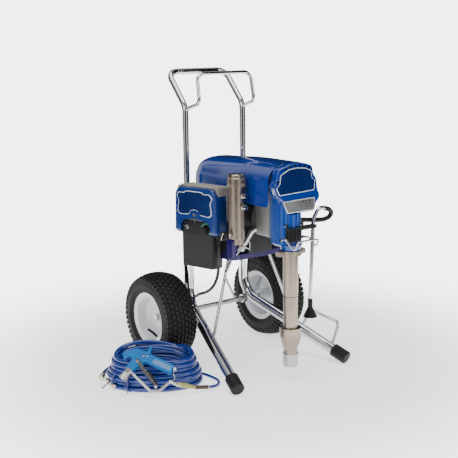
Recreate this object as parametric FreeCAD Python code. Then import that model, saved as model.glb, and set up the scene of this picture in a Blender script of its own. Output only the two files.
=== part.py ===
"""Airless paint sprayer on a two-wheeled cart, with its coiled hose and spray gun.

Each piece is drawn with Y = 0 at the axle. save() then moves it by AXLE_Y, so that the
origin is on the floor, under the middle of the cart's box. Millimetres, +Z up, the pump
faces -Y and the push handle is at the back.
"""
import FreeCAD, Part
import math
import os

V = FreeCAD.Vector
X_AXIS = V(1, 0, 0)
Y_AXIS = V(0, 1, 0)
Z_AXIS = V(0, 0, 1)

# ---- driving dimensions -------------------------------------------------------------
AXLE_Y = 179.15

TYRE_R = 165.0  # 13 x 5.00-6 turf tyre
TYRE_HALF = 62.5
RIM_R = 97.0
TRACK_HALF = 255.0  # middle of each wheel
AXLE_R = 9.5
HUB_GAP = 0.05  # running clearance of the hub on the axle

FRAME_X = 129.0  # middle of each upright tube
FRAME_Y = -6.0
FRAME_R = 19.0
FRAME_WALL = 2.0
FRAME_TOP = 629.0
KNEE = (129.0, -6.0, 195.0)
FOOT = (245.0, -450.0, 24.0)
KNEE_BEND = 95.0
CAP_R = 24.0

HANDLE_R = 11.0
HANDLE_LOW = 525.0
HANDLE_FORK = 924.0
HANDLE_TOP = (129.0, 104.0, 1045.0)
RACK_R = 6.5
BUSH_GAP = 0.05

PUMP_X = -15.0
PUMP_Y = -454.0
STROKE = 25.4
CRANK_Z = 615.0
ROD_LONG = 85.0  # connecting rod, centre to centre
MOTOR_Z = 560.0
MOTOR_R = 72.0
GEAR_RATIO = 5.0

MANIFOLD = (-143.0, -322.0)
MANIFOLD_R = 27.5

TRAY_TOP = 424.0
TRAY_DEEP = 19.0

CONTROL_YAW = 14.0
HOSE_R = 7.75
WHIP_R = 5.25
LEAD_R = 5.5
COIL = (-397.0, -180.0)
VIEW_YAW = -36.5  # the hose heap's long axis, turned from +X


# ---- helpers ------------------------------------------------------------------------
def save(node, *solids):
    """Writes one node: one solid, or several separate ones as a group."""
    shape = solids[0] if len(solids) == 1 else Part.makeCompound(list(solids))
    shape = shape.copy()
    shape.translate(V(0, AXLE_Y, 0))
    box = shape.BoundBox
    print("%-20s %2d solid  x %6.0f %6.0f  y %6.0f %6.0f  z %6.0f %6.0f  %s" % (
        node, len(shape.Solids), box.XMin, box.XMax, box.YMin, box.YMax,
        box.ZMin, box.ZMax, "" if shape.isValid() else "NOT VALID"))
    shape.exportStep("parts/%s.step" % node)
    return shape


def vec(point):
    return V(*point)


def mirror(shape):
    return shape.mirror(V(0, 0, 0), X_AXIS)


def box(x0, x1, y0, y1, z0, z1):
    return Part.makeBox(x1 - x0, y1 - y0, z1 - z0, V(x0, y0, z0))


def rod(a, b, radius):
    a, b = vec(a), vec(b)
    return Part.makeCylinder(radius, a.distanceToPoint(b), a, b - a)


def cone(a, b, radius_a, radius_b):
    a, b = vec(a), vec(b)
    return Part.makeCone(radius_a, radius_b, a.distanceToPoint(b), a, b - a)


def turned(profile, base, axis):
    """Turns an outline of (radius, height) points about axis through base."""
    points = [V(r, 0, h) for r, h in profile]
    wire = Part.makePolygon(points + [points[0]])
    solid = Part.Face(wire).revolve(V(0, 0, 0), Z_AXIS, 360)
    if solid.ShapeType != "Solid":
        solid = Part.Solid(solid)
    if solid.Volume < 0:
        solid.reverse()
    spin = FreeCAD.Rotation(Z_AXIS, vec(axis))
    solid.Placement = FreeCAD.Placement(vec(base), spin)
    return solid


def bent_path(points, radii):
    """Straight runs joined by tangent arcs."""
    points = [vec(p) for p in points]
    if not isinstance(radii, (list, tuple)):
        radii = [radii] * (len(points) - 2)
    edges = []
    start = points[0]
    for i, radius in enumerate(radii, 1):
        here = points[i]
        back = (points[i - 1] - here).normalize()
        ahead = (points[i + 1] - here).normalize()
        turn = math.pi - back.getAngle(ahead)
        cut = radius * math.tan(turn / 2)
        first = here + back * cut
        last = here + ahead * cut
        inward = (back + ahead).normalize()
        middle = here + inward * (radius / math.cos(turn / 2) - radius)
        edges.append(Part.LineSegment(start, first).toShape())
        edges.append(Part.Arc(first, middle, last).toShape())
        start = last
    edges.append(Part.LineSegment(start, points[-1]).toShape())
    return Part.Wire(edges)


def bent_rod(points, radius, radii):
    path = bent_path(points, radii)
    ring = Part.Wire(Part.makeCircle(radius, vec(points[0]), vec(points[1]) - vec(points[0])))
    return path.makePipeShell([ring], True, False)


def cord_tube(name, points, radius):
    """A flexible cord's tube, with each arc as large as its two runs allow."""
    p = [vec(q) for q in points]
    radii = []
    for i in range(1, len(p) - 1):
        short = min(p[i].distanceToPoint(p[i - 1]), p[i].distanceToPoint(p[i + 1]))
        turn = math.pi - (p[i - 1] - p[i]).getAngle(p[i + 1] - p[i])
        radii.append(0.45 * short / math.tan(turn / 2))
    tube = bent_rod(points, radius, radii)
    long = bent_path(points, radii).Length
    ratio = tube.Volume / (math.pi * radius ** 2 * long)
    print("  %s: %.0f mm long, volume ratio %.4f, radii %s" % (
        name, long, ratio, [round(r) for r in radii]))
    return tube


def outline(points, thick, low):
    """A flat plate in local X and Y, from Z = low."""
    flat = [V(x, y, low) for x, y in points]
    return Part.Face(Part.makePolygon(flat + [flat[0]])).extrude(V(0, 0, thick))


def placed(shape, origin, x_dir, y_dir):
    """Moves a shape drawn in local axes to origin, with local X along x_dir."""
    x, y = vec(x_dir).normalize(), vec(y_dir).normalize()
    z = x.cross(y).normalize()
    matrix = FreeCAD.Matrix(
        x.x, y.x, z.x, origin[0],
        x.y, y.y, z.y, origin[1],
        x.z, y.z, z.z, origin[2],
        0, 0, 0, 1)
    out = shape.copy()
    out.Placement = FreeCAD.Placement(matrix).multiply(out.Placement)
    return out


def oval_wire(centre, long, short, z):
    """An oval of four arcs, half axes long and short, with the long axis along VIEW_YAW."""
    end_r = 62.5 + 0.4 * max(0, short - 64)
    run = long - end_r
    side_r = (run ** 2 + short ** 2 - end_r ** 2) / (2 * (short - end_r))
    meet = math.atan2(side_r - short, run)
    x, y = run + end_r * math.cos(meet), end_r * math.sin(meet)
    edges = [
        Part.Arc(V(x, -y, 0), V(long, 0, 0), V(x, y, 0)).toShape(),
        Part.Arc(V(x, y, 0), V(0, short, 0), V(-x, y, 0)).toShape(),
        Part.Arc(V(-x, y, 0), V(-long, 0, 0), V(-x, -y, 0)).toShape(),
        Part.Arc(V(-x, -y, 0), V(0, -short, 0), V(x, -y, 0)).toShape()]
    wire = Part.Wire(edges)
    turn = FreeCAD.Rotation(Z_AXIS, VIEW_YAW)
    wire.Placement = FreeCAD.Placement(V(centre[0], centre[1], z), turn)
    return wire


def rounded(solid, radius, direction, where=None):
    """Rounds the straight edges that run along a direction."""
    chosen = []
    for edge in solid.Edges:
        if not isinstance(edge.Curve, (Part.Line, Part.LineSegment)):
            continue
        along = (edge.Vertexes[1].Point - edge.Vertexes[0].Point).normalize()
        if abs(along.dot(direction)) < 0.999:
            continue
        if where is None or where(edge.CenterOfMass):
            chosen.append(edge)
    return solid.makeFillet(radius, chosen)


# ---- cart ---------------------------------------------------------------------------
def frame_tube(radius):
    points = [(FRAME_X, FRAME_Y, FRAME_TOP), KNEE, FOOT]
    return bent_rod(points, radius, KNEE_BEND)


def foot_cap():
    knee, foot = vec(KNEE), vec(FOOT)
    along = (foot - knee).normalize()
    cap = Part.makeCylinder(CAP_R, 60, foot - along * 48, along)
    cap = rounded_end(cap, 4, foot + along * 12)
    cap = cap.cut(Part.makeCylinder(FRAME_R, 48, foot - along * 48, along))
    return cap.cut(box(0, 400, -600, 0, -40, 0))


def rounded_end(solid, radius, point):
    """Rounds the round edge whose centre is at a point."""
    chosen = [e for e in solid.Edges if e.CenterOfMass.distanceToPoint(point) < 0.5]
    return solid.makeFillet(radius, chosen)


def cart():
    solid_tube = frame_tube(FRAME_R)
    tube = solid_tube.cut(frame_tube(FRAME_R - FRAME_WALL))
    save("right_frame_tube", tube)
    save("left_frame_tube", mirror(tube))
    caps = foot_cap()
    save("foot_caps", caps, mirror(caps))

    bush = rod((FRAME_X, FRAME_Y, FRAME_TOP), (FRAME_X, FRAME_Y, FRAME_TOP + 16), 23.5)
    bush = rounded_end(bush, 2, V(FRAME_X, FRAME_Y, FRAME_TOP + 16))
    bush = bush.fuse(rod((FRAME_X, FRAME_Y, FRAME_TOP - 30), (FRAME_X, FRAME_Y, FRAME_TOP),
                         FRAME_R - FRAME_WALL))
    bush = bush.cut(rod((FRAME_X, FRAME_Y, 590), (FRAME_X, FRAME_Y, 660), HANDLE_R + BUSH_GAP))
    save("tube_bushings", bush, mirror(bush))

    end = TRACK_HALF + 20
    axle = rod((-end, 0, TYRE_R), (end, 0, TYRE_R), AXLE_R)
    lug = rod((FRAME_X - 7, 0, TYRE_R), (FRAME_X + 7, 0, TYRE_R), 17)
    lug = lug.cut(axle).cut(solid_tube)
    nut = hexagon((end - 7, 0, TYRE_R), X_AXIS, 13, 10)
    nut = nut.cut(axle)
    save("axle", axle, lug, mirror(lug), nut, mirror(nut))

    brace = rod((88, -203, TRAY_TOP - TRAY_DEEP), (184, -237, 132), 6).cut(solid_tube)
    stay_points = [(-112, -252, TRAY_TOP - TRAY_DEEP), (-136, -240, 345), (84, -7, 174)]
    stay = bent_rod(stay_points, 4.5, 25).cut(axle)
    save("frame_braces", brace, mirror(brace), stay)
    loop_points = [(199, -272, 100), (222, -288, 168), (277, -388, 132), (229, -396, 42)]
    loop = bent_rod(loop_points, 6, [22, 22]).cut(solid_tube)
    loop = max(loop.Solids, key=lambda s: s.Volume)
    save("lift_loop", loop)
    return solid_tube


def hexagon(base, axis, across, high):
    """A hexagonal bar with its corners at a radius, from base along axis."""
    corners = [(across * math.cos(math.radians(60 * k)), across * math.sin(math.radians(60 * k)))
               for k in range(6)]
    bar = outline(corners, high, 0)
    bar.Placement = FreeCAD.Placement(vec(base), FreeCAD.Rotation(Z_AXIS, vec(axis)))
    return bar


def tray(solid_tube):
    low, high = TRAY_TOP - TRAY_DEEP, TRAY_TOP
    pan = rounded(box(-130, 130, -280, -12, low, high), 38, Z_AXIS, lambda c: c.y < -200)
    inner = rounded(box(-127, 127, -277, -32, low - 1, high - 3), 35, Z_AXIS,
                    lambda c: c.y < -200)
    pan = pan.cut(inner)
    post = box(-142, -122, -298, -262, high - 3, 488)
    pan = pan.fuse(post)
    for tube in (solid_tube, mirror(solid_tube)):
        pan = pan.cut(tube)
    pan = pan.cut(rod(MANIFOLD + (300,), MANIFOLD + (700,), MANIFOLD_R))
    save("motor_tray", pan.removeSplitter())


def wheel_pieces():
    """Tyre and rim about +Z through the origin, +Z being the outward side."""
    half = TYRE_HALF
    tyre = turned([
        (84, 44), (99, 52), (118, half), (138, half - 2), (154, 54), (162, 46), (TYRE_R, 30),
        (TYRE_R, -30), (162, -46), (154, -54), (138, 2 - half), (118, -half), (99, -52),
        (84, -44), (84, -34), (100, -42), (120, -50), (140, -46), (153, -30),
        (153, 30), (140, 46), (120, 50), (100, 42), (84, 34)],
        (0, 0, 0), (0, 0, 1))
    bore = AXLE_R + HUB_GAP
    rim = turned([
        (bore, -46), (20, -46), (20, -4), (56, 2), (70, 8), (80, 22), (80, -46), (RIM_R, -53),
        (RIM_R, -50), (84, -43), (84, 43), (RIM_R, 50), (RIM_R, 53.5), (80.5, 48), (72, 18),
        (54, 7), (22, 2), (20, 10), (bore, 10)],
        (0, 0, 0), (0, 0, 1))
    return tyre, rim


def wheels():
    tyre, rim = wheel_pieces()
    for side, name in ((1, "right"), (-1, "left")):
        turn = FreeCAD.Rotation(Z_AXIS, V(side, 0, 0))
        seat = FreeCAD.Placement(V(side * TRACK_HALF, 0, TYRE_R), turn)
        for piece, shape in (("tyre", tyre.cut(rim)), ("rim", rim)):
            out = shape.copy()
            out.Placement = seat.multiply(out.Placement)
            save("%s_%s" % (name, piece), out)


def handle():
    x, y, z = HANDLE_TOP
    points = [(-x, FRAME_Y, HANDLE_LOW), (-x, FRAME_Y, HANDLE_FORK), (-x, y, z),
              (x, y, z), (x, FRAME_Y, HANDLE_FORK), (x, FRAME_Y, HANDLE_LOW)]
    bends = [60, 38, 38, 60]
    outer = bent_rod(points, HANDLE_R, bends)
    inner_points = [(-x, FRAME_Y, HANDLE_LOW - 1)] + points[1:-1] + [(x, FRAME_Y, HANDLE_LOW - 1)]
    save("handle_tube", outer.cut(bent_rod(inner_points, HANDLE_R - 2, bends)))
    rack = bent_rod([(-129, FRAME_Y, 914), (-122, -86, 938), (-118, -68, 1042), (118, -68, 1042),
                     (122, -86, 938), (129, FRAME_Y, 914)], RACK_R, [24, 30, 30, 24])
    rack = rack.cut(outer)
    save("hose_rack", max(rack.Solids, key=lambda s: s.Volume))


# ---- motor and drive ----------------------------------------------------------------
def shroud_section(inset, low):
    """The shroud's arched section across X at one Y, as a wire drawn in X and Z."""
    left, right = -103 + inset, 87 - inset
    mid = (left + right) / 2
    crown = 757 - inset
    shoulder = 694 - inset
    half = (right - left) / 2
    foot = V(left, 0, low)
    arch = [V(mid + half * 0.985 * math.cos(math.radians(a)), 0,
              shoulder + (crown - shoulder) * math.sin(math.radians(a)))
            for a in (180, 158, 136, 113, 90, 67, 44, 22, 0)]
    spline = Part.BSplineCurve()
    spline.interpolate(arch)
    edges = [Part.LineSegment(foot, arch[0]).toShape(), spline.toShape(),
             Part.LineSegment(arch[-1], V(right, 0, low)).toShape(),
             Part.LineSegment(V(right, 0, low), foot).toShape()]
    return Part.Wire(edges)


def shroud_body(inset, low):
    """The shroud's outer or inner form: the arched section, rounded off at the rear."""
    front, rear = -441, 12 - inset
    face = Part.Face(shroud_section(inset, low))
    face.translate(V(0, front - (1 if inset else 0), 0))
    body = face.extrude(V(0, rear - front, 0))
    low_y = rear - 1
    x0, x1, r = -103 + inset, 87 - inset, 62.0
    corner = r * math.sin(math.radians(45))
    edges = [
        Part.LineSegment(V(x0, front - 5, low), V(x1, front - 5, low)).toShape(),
        Part.LineSegment(V(x1, front - 5, low), V(x1, low_y - r, low)).toShape(),
        Part.Arc(V(x1, low_y - r, low), V(x1 - r + corner, low_y - r + corner, low),
                 V(x1 - r, low_y, low)).toShape(),
        Part.LineSegment(V(x1 - r, low_y, low), V(x0 + r, low_y, low)).toShape(),
        Part.Arc(V(x0 + r, low_y, low), V(x0 + r - corner, low_y - r + corner, low),
                 V(x0, low_y - r, low)).toShape(),
        Part.LineSegment(V(x0, low_y - r, low), V(x0, front - 5, low)).toShape()]
    plan = Part.Face(Part.Wire(edges)).extrude(V(0, 0, 400))
    return body.common(plan)


def shroud():
    outer = shroud_body(0, 612)
    inner = shroud_body(3, 560)
    shell = outer.cut(inner)
    rear_step = box(-200, 200, -230, 40, 600, 640)
    shell = shell.cut(rear_step)
    save("motor_shroud", max(shell.Solids, key=lambda s: s.Volume))


COVER_EDGE = [(-83, 742), (-40, 754), (0, 757), (38, 752), (66, 742), (72, 712), (84, 700),
              (92, 655), (100, 646), (100, 628), (84, 614), (78, 586), (-44, 586), (-66, 634),
              (-92, 650), (-100, 690), (-90, 704)]
PLATE_EDGE = [(-74, 722), (-38, 738), (-2, 741), (34, 737), (58, 728), (62, 702), (76, 692),
              (74, 658), (-80, 653), (-92, 678), (-78, 692)]
BADGE_EDGE = [(-64, 632), (76, 634), (74, 590), (-44, 590)]


def front_plate(points, y_front, deep, inset=0.0):
    """A plate with an outline in X and Z, its front at y_front and its back behind."""
    middle = V(sum(x for x, z in points) / len(points), 0, sum(z for x, z in points) / len(points))
    flat = []
    for x, z in points:
        away = V(x, 0, z) - middle
        away = away * (1 - inset / away.Length)
        flat.append(V(middle.x + away.x, y_front, middle.z + away.z))
    return Part.Face(Part.makePolygon(flat + [flat[0]])).extrude(V(0, deep, 0))


def front_cover():
    cover = front_plate(COVER_EDGE, -472, 31)
    cover = cover.cut(front_plate(COVER_EDGE, -468, 40, 5))
    cover = cover.cut(box(-60, 30, -468, -400, 560, 652))
    plate = front_plate(PLATE_EDGE, -473.5, 1.5)
    badge = front_plate(BADGE_EDGE, -473.5, 1.5)
    save("front_cover", cover)
    save("name_plate", plate)
    save("badge_plate", badge)


def motor():
    x = PUMP_X
    front, rear = -335, -70
    can = rod((x, front, MOTOR_Z), (x, rear, MOTOR_Z), MOTOR_R)
    feet = box(x - 52, x + 52, -290, -110, TRAY_TOP, MOTOR_Z)
    can = can.fuse(feet)
    can = can.cut(rod((x, front + 12, MOTOR_Z), (x, rear - 12, MOTOR_Z), MOTOR_R - 7))
    can = can.cut(rod((x, -420, MOTOR_Z), (x, 0, MOTOR_Z), 8.05))
    save("motor_housing", can)

    shaft = rod((x, front - 45, MOTOR_Z), (x, rear + 6, MOTOR_Z), 8)
    rotor = shaft.fuse(rod((x, -290, MOTOR_Z), (x, -130, MOTOR_Z), 50))
    rotor = rotor.fuse(rod((x, -108, MOTOR_Z), (x, -98, MOTOR_Z), 58))
    pinion = gear_radius() / GEAR_RATIO - 0.3
    rotor = rotor.fuse(rod((x, front - 45, MOTOR_Z), (x, front - 25, MOTOR_Z), pinion))
    save("motor_rotor", rotor)


def gear_radius():
    """Pitch radius of the crank gear."""
    return (CRANK_Z - MOTOR_Z) * GEAR_RATIO / (GEAR_RATIO + 1)


def gearbox():
    x = PUMP_X
    case = rounded(box(x - 55, x + 57, -405, -335, 500, 672), 12, Y_AXIS)
    room = rod((x, -393, CRANK_Z), (x, -347, CRANK_Z), gear_radius() + 4)
    room = room.fuse(rod((x, -393, MOTOR_Z), (x, -347, MOTOR_Z), 16))
    case = case.cut(room)
    case = case.cut(rod((x, -410, CRANK_Z), (x, -390, CRANK_Z), 10.05))
    case = case.cut(rod((x, -350, MOTOR_Z), (x, -330, MOTOR_Z), 8.05))
    save("gearbox_housing", case)

    pin_z = CRANK_Z - STROKE / 2
    crank = rod((x, -380, CRANK_Z), (x, -365, CRANK_Z), gear_radius() - 0.3)
    crank = crank.fuse(rod((x, -380, CRANK_Z), (x, -431, CRANK_Z), 10))
    crank = crank.fuse(rod((x, -445, CRANK_Z), (x, -431, CRANK_Z), 23))
    crank = crank.fuse(rod((x, -462, pin_z), (x, -445, pin_z), 6))
    save("crank", crank)

    y0, y1 = PUMP_Y - 6, PUMP_Y + 6
    low = pin_z - ROD_LONG
    link = rod((x, y0, pin_z), (x, y1, pin_z), 12)
    link = link.fuse(rod((x, y0, low), (x, y1, low), 8))
    link = link.fuse(box(x - 5.5, x + 5.5, y0 + 1, y1 - 1, low, pin_z))
    link = link.cut(rod((x, y0 - 1, pin_z), (x, y1 + 1, pin_z), 6.05))
    save("connecting_rod", link)
    return low


def drive_housing():
    x, y = PUMP_X, PUMP_Y
    block = rounded(box(-60, 30, -468, -405.3, 474, 652), 20, Z_AXIS, lambda c: c.y < -440)
    foot = [e for e in block.Edges if abs(e.BoundBox.ZMax - 474) < 0.1]
    block = block.makeChamfer(9, foot)
    block = block.fuse(rod((x, y, 461), (x, y, 585), 26))
    block = block.fuse(cone((x, y, 461), (x, y, 482), 33, 40))
    block = block.cut(box(x - 29, x + 29, -464, -428, 486, 644))
    block = block.cut(rod((x, y, 460), (x, y, 575), 17))
    block = block.cut(rod((x, -403, CRANK_Z), (x, -430, CRANK_Z), 12))
    block = block.cut(rod((x, -466, CRANK_Z), (x, -450, CRANK_Z), 20))
    block = block.cut(box(x - 20, x + 20, -500, y, 498, 538))
    save("drive_housing", block)

    guard = rod((x, y, 494), (x, y, 541), 37).cut(rod((x, y, 490), (x, y, 545), 30))
    for k in range(-4, 5):
        angle = math.radians(270 + 19 * k)
        cx, cy = x + 37 * math.cos(angle), y + 37 * math.sin(angle)
        guard = guard.cut(rod((cx, cy, 500), (cx, cy, 536), 2.6))
    guard = guard.common(box(-100, 100, -500, -468.3, 480, 560))
    guard = guard.cut(block)
    save("rod_guard", max(guard.Solids, key=lambda s: s.Volume))

    screws = []
    for sx, sz in ((-50, 549), (21, 549)):
        screws.append(rod((sx, -473, sz), (sx, -468, sz), 6))
    for sx, sy, sz in CONTROL_SCREWS:
        screws.append(control_place(rod((sx, sy, sz), (sx - 3, sy, sz), 7)))
    save("cover_screws", *screws)


# ---- pump ---------------------------------------------------------------------------
def pump(rod_eye_z):
    x, y = PUMP_X, PUMP_Y
    nut = rod((x, y, 445), (x, y, 461), 38)
    for side in (-1, 1):
        nut = nut.fuse(box(x + side * 46 - 11, x + side * 46 + 11, y - 11, y + 11, 445, 461))
    nut = nut.fuse(box(x - 46, x + 46, y - 11, y + 11, 445, 461))
    nut = nut.cut(rod((x, y, 440), (x, y, 470), 15))
    save("pump_lock_nut", nut)

    barrel = turned([(9.05, 430), (9.05, 445), (26, 445), (26, 312), (25, 310), (25, 190),
                     (16, 190), (16, 430)], (x, y, 0), (0, 0, 1))
    save("pump_cylinder", barrel)

    intake = turned([(10, 98), (24.5, 98), (24.5, 112), (37.5, 160), (37.5, 190), (14, 190),
                     (14, 180), (10, 172)], (x, y, 0), (0, 0, 1))
    save("intake_housing", intake)
    strainer = turned([(27, 53), (27, 98), (10, 98), (10, 88), (20, 84), (20, 53)],
                      (x, y, 0), (0, 0, 1))
    save("suction_strainer", strainer)

    slot_low = rod_eye_z - 8 - STROKE - 0.6
    lift = turned([(0, 285), (15.95, 285), (15.95, 300), (9, 300), (9, slot_low - 8),
                   (14, slot_low - 8), (14, rod_eye_z + 12), (0, rod_eye_z + 12)],
                  (x, y, 0), (0, 0, 1))
    slot = box(x - 20, x + 20, y - 6.6, y + 6.6, slot_low, rod_eye_z + 20)
    save("displacement_rod", lift.cut(slot))


def pail_hook():
    points = [(-64, -462, 501), (-65, -488, 508), (-52, -517, 470), (-37, -519, 500),
              (14, -520, 502), (56, -519, 498), (41, -515, 474), (33, -494, 505), (34, -462, 501)]
    wire = bent_rod(points, 3.3, [7, 6, 6, 30, 6, 5, 7])
    for x0, x1 in ((-68.0, -60.3), (30.3, 38.0)):
        wire = wire.fuse(rod((x0, -462, 501), (x1, -462, 501), 5))
    wire = wire.cut(box(-60.3, 30.3, -475, -440, 480, 520))
    save("pail_hook", wire)


def drain():
    tube = bent_rod([(105, -420, 262), (116, -420, 545), (146, -418, 585), (172, -416, 577)],
                    6.75, [30, 26])
    save("drain_tube", tube)
    hose = cord_tube("drain hose", DRAIN_HOSE, 8.5).cut(box(0, 30, -468, -400, 500, 600))
    save("drain_hose", hose)
    neck = rod((105, -420, 226), (105, -420, 262), 8.5)
    bell = neck.fuse(cone((105, -420, 196), (105, -420, 230), 25, 9))
    bell = bell.cut(cone((105, -420, 195), (105, -420, 222), 23, 7))
    bell = bell.cut(rod((105, -420, 215), (105, -420, 262), 5))
    save("drain_deflector", bell)
    clip = box(29, 124, -430, -410, 515, 527)
    clip = clip.cut(rod((105, -420, 262), (116, -420, 545), 6.75))
    clip = clip.cut(box(0, 30, -480, -400, 500, 540))
    save("drain_clip", clip)


DRAIN_HOSE = [(172, -416, 577), (196, -414, 570), (214, -408, 555), (208, -402, 538),
              (184, -399, 532), (148, -398, 534), (105, -400, 541), (66, -408, 547),
              (31, -418, 551)]


# ---- filter manifold ----------------------------------------------------------------
def manifold():
    x, y = MANIFOLD
    low, cap_low, top = 497.0, 673.0, 717.0
    body = rod((x, y, low), (x, y, cap_low), MANIFOLD_R)
    body = body.fuse(rod((x + 9, y, 474), (x + 9, y, low), 17))
    body = body.cut(rod((x, y, 520), (x, y, cap_low), 20))
    side = (0.15, -0.9887)
    fittings = []
    for z in (645, 607):
        base = (x + side[0] * 20, y + side[1] * 20, z)
        tip = (x + side[0] * 36, y + side[1] * 36, z)
        end = (x + side[0] * 48, y + side[1] * 48, z)
        body = body.cut(rod(base, (x + side[0] * 40, y + side[1] * 40, z), 7))
        nipple = rod(base, tip, 7)
        nipple = nipple.fuse(hexagon((x + side[0] * 30, y + side[1] * 30, z),
                                     V(side[0], side[1], 0), 10.5, 7))
        nipple = nipple.fuse(rod(tip, end, 7.5))
        nipple = nipple.cut(rod(base, (x + side[0] * 60, y + side[1] * 60, z), 3.5))
        fittings.append(nipple)
    body = body.cut(fittings[0]).cut(fittings[1])
    cap = turned([(0, cap_low), (28.5, cap_low), (28.5, top - 14), (26, top - 11), (26, top - 3),
                  (23, top), (0, top)], (x, y, 0), (0, 0, 1))
    cap = cap.cut(box(x - 40, x + 40, y - 6, y + 6, top - 9, top + 5))
    element = rod((x, y, 524), (x, y, 668), 15).cut(rod((x, y, 524), (x, y, 660), 9))
    valve = rod((x - 22, y + 1, 511), (x - 40, y + 1, 511), 8)
    body = body.cut(valve)
    save("manifold_body", body)
    save("filter_cap", cap)
    save("filter_element", element)
    save("manifold_fittings", *fittings, valve)
    knob = hexagon((x - 40.5, y + 1, 511), V(-1, 0, 0), 15, 20)
    knob = knob.fuse(rod((x - 60.5, y + 1, 511), (x - 64, y + 1, 511), 9))
    save("drain_valve_knob", knob)


def jumper():
    points = [(-107, -298, 446), (-98, -312, 470), (-84, -330, 512), (-74, -345, 524)]
    hose = bent_rod(points, 7, [60, 40])
    nuts = [hexagon((-107, -298, 446), V(0.3, -0.47, 0.83), 11, 14)]
    hose = hose.cut(nuts[0]).cut(box(-70, 42, -405, -335, 500, 672))
    hose = hose.cut(rod((PUMP_X, -335, MOTOR_Z), (PUMP_X, -70, MOTOR_Z), MOTOR_R))
    save("jumper_hose", max(hose.Solids, key=lambda s: s.Volume), *nuts)


# ---- control unit -------------------------------------------------------------------
CONTROL_ORIGIN = (-215.0, -180.0, 0.0)
CONTROL_SCREWS = [(0, 0, 548)]


def control_place(shape):
    """From the control unit's own axes: X = 0 at its outer face, +X inward."""
    out = shape.copy()
    turn = FreeCAD.Rotation(Z_AXIS, CONTROL_YAW)
    out.Placement = FreeCAD.Placement(vec(CONTROL_ORIGIN), turn).multiply(out.Placement)
    return out


def control_unit(solid_tube):
    left_tube = mirror(solid_tube)
    half = 96.0
    case = box(16, 84, -half + 4, half - 4, 540, 660)
    case = case.cut(box(19, 81, -half + 7, half - 7, 543, 657))
    case = control_place(case).cut(left_tube)
    save("control_housing", case)

    edge = [(-half, 500), (-half + 4, 640), (-half + 16, 658), (half - 16, 658),
            (half - 4, 640), (half, 500), (half - 26, 500), (half - 28, 534),
            (-half + 28, 534), (-half + 26, 500)]
    skin = Part.Face(Part.makePolygon([V(0, y, z) for y, z in edge + edge[:1]]))
    cover = skin.extrude(V(62, 0, 0))
    cover = cover.cut(box(5, 70, -half + 4, half - 4, 490, 654))
    cover = cover.cut(box(16, 84, -half + 4, half - 4, 540, 660))
    cover = control_place(cover).cut(left_tube)
    save("control_cover", cover)

    panel = box(10, 84, -half + 5, half - 5, 496, 538)
    panel = panel.cut(box(13, 81, -half + 8, half - 8, 499, 536))
    panel = panel.cut(rod((5, -42, 516), (20, -42, 516), 5.05))
    panel = panel.cut(box(5, 14, 43.9, 52.1, 511.9, 522.1))
    lower = box(22, 82, -60, 88, 373, 496)
    lower = rounded(lower, 14, Z_AXIS)
    lower = lower.cut(rounded(box(25, 79, -57, 85, 376, 493), 11, Z_AXIS))
    panel = control_place(panel).cut(left_tube)
    lower = control_place(lower).cut(left_tube).cut(box(-130, 130, -280, -12, 405, 424))
    save("control_panel", max(panel.Solids, key=lambda s: s.Volume))
    save("electronics_box", max(lower.Solids, key=lambda s: s.Volume))

    knob = rod((-8, -42, 516), (9.7, -42, 516), 15.5)
    knob = knob.fuse(rod((9.7, -42, 516), (24, -42, 516), 5))
    save("pressure_knob", control_place(knob))
    lever = rod((14, 44, 517), (14, 52, 517), 5)
    lever = lever.fuse(rod((14, 48, 517), (-4, 48, 525), 2.4))
    save("power_switch", control_place(lever))


# ---- supply lead --------------------------------------------------------------------
LEAD = [(-166, -252, 478), (-168, -254, 448), (-169, -254, 412), (-166, -246, 370),
        (-159, -224, 330), (-150, -185, 294), (-138, -135, 266), (-121, -80, 246),
        (-104, -28, 228), (-95, 20, 198), (-92, 62, 152), (-93, 94, 100), (-96, 124, 55),
        (-101, 152, 21), (-107, 180, 7)]
LEAD_COIL = (-112.0, 258.0)


def supply_lead():
    top = vec(LEAD[0])
    gland = cone(tuple(top), (-165.5, -251.5, 495), 8, 11)
    gland = gland.fuse(rod((-165.5, -251.5, 490), (-165.5, -251.5, 495), 12))
    tube = cord_tube("supply lead", LEAD, LEAD_R)
    gland = gland.cut(tube)
    save("cord_gland", gland)
    x, y = LEAD_COIL
    coil = turned([(42, 0), (79, 0), (79, 22), (72, 36), (49, 36), (42, 22)], (x, y, 0), (0, 0, 1))
    save("supply_lead", tube.cut(coil))
    save("supply_lead_coil", coil)
    plug = cone((x - 18, y - 60, 54), (x + 34, y - 60, 54), 17, 12)
    plug = plug.fuse(rod((x - 24, y - 60, 54), (x - 18, y - 60, 54), 17.9))
    for dy, dz in ((-8, -5), (8, -5), (0, 7)):
        plug = plug.fuse(rod((x - 42, y - 60 + dy, 54 + dz), (x - 24, y - 60 + dy, 54 + dz), 2.4))
    save("supply_plug", plug)


# ---- hose and spray gun -------------------------------------------------------------
HOSE_END = (-548.5, -88.2, 31.0)
HOSE_END_AXIS = (-0.714, -0.698, 0.052)


def past_hose_end(distance):
    return tuple(vec(HOSE_END) + vec(HOSE_END_AXIS) * distance)


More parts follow.
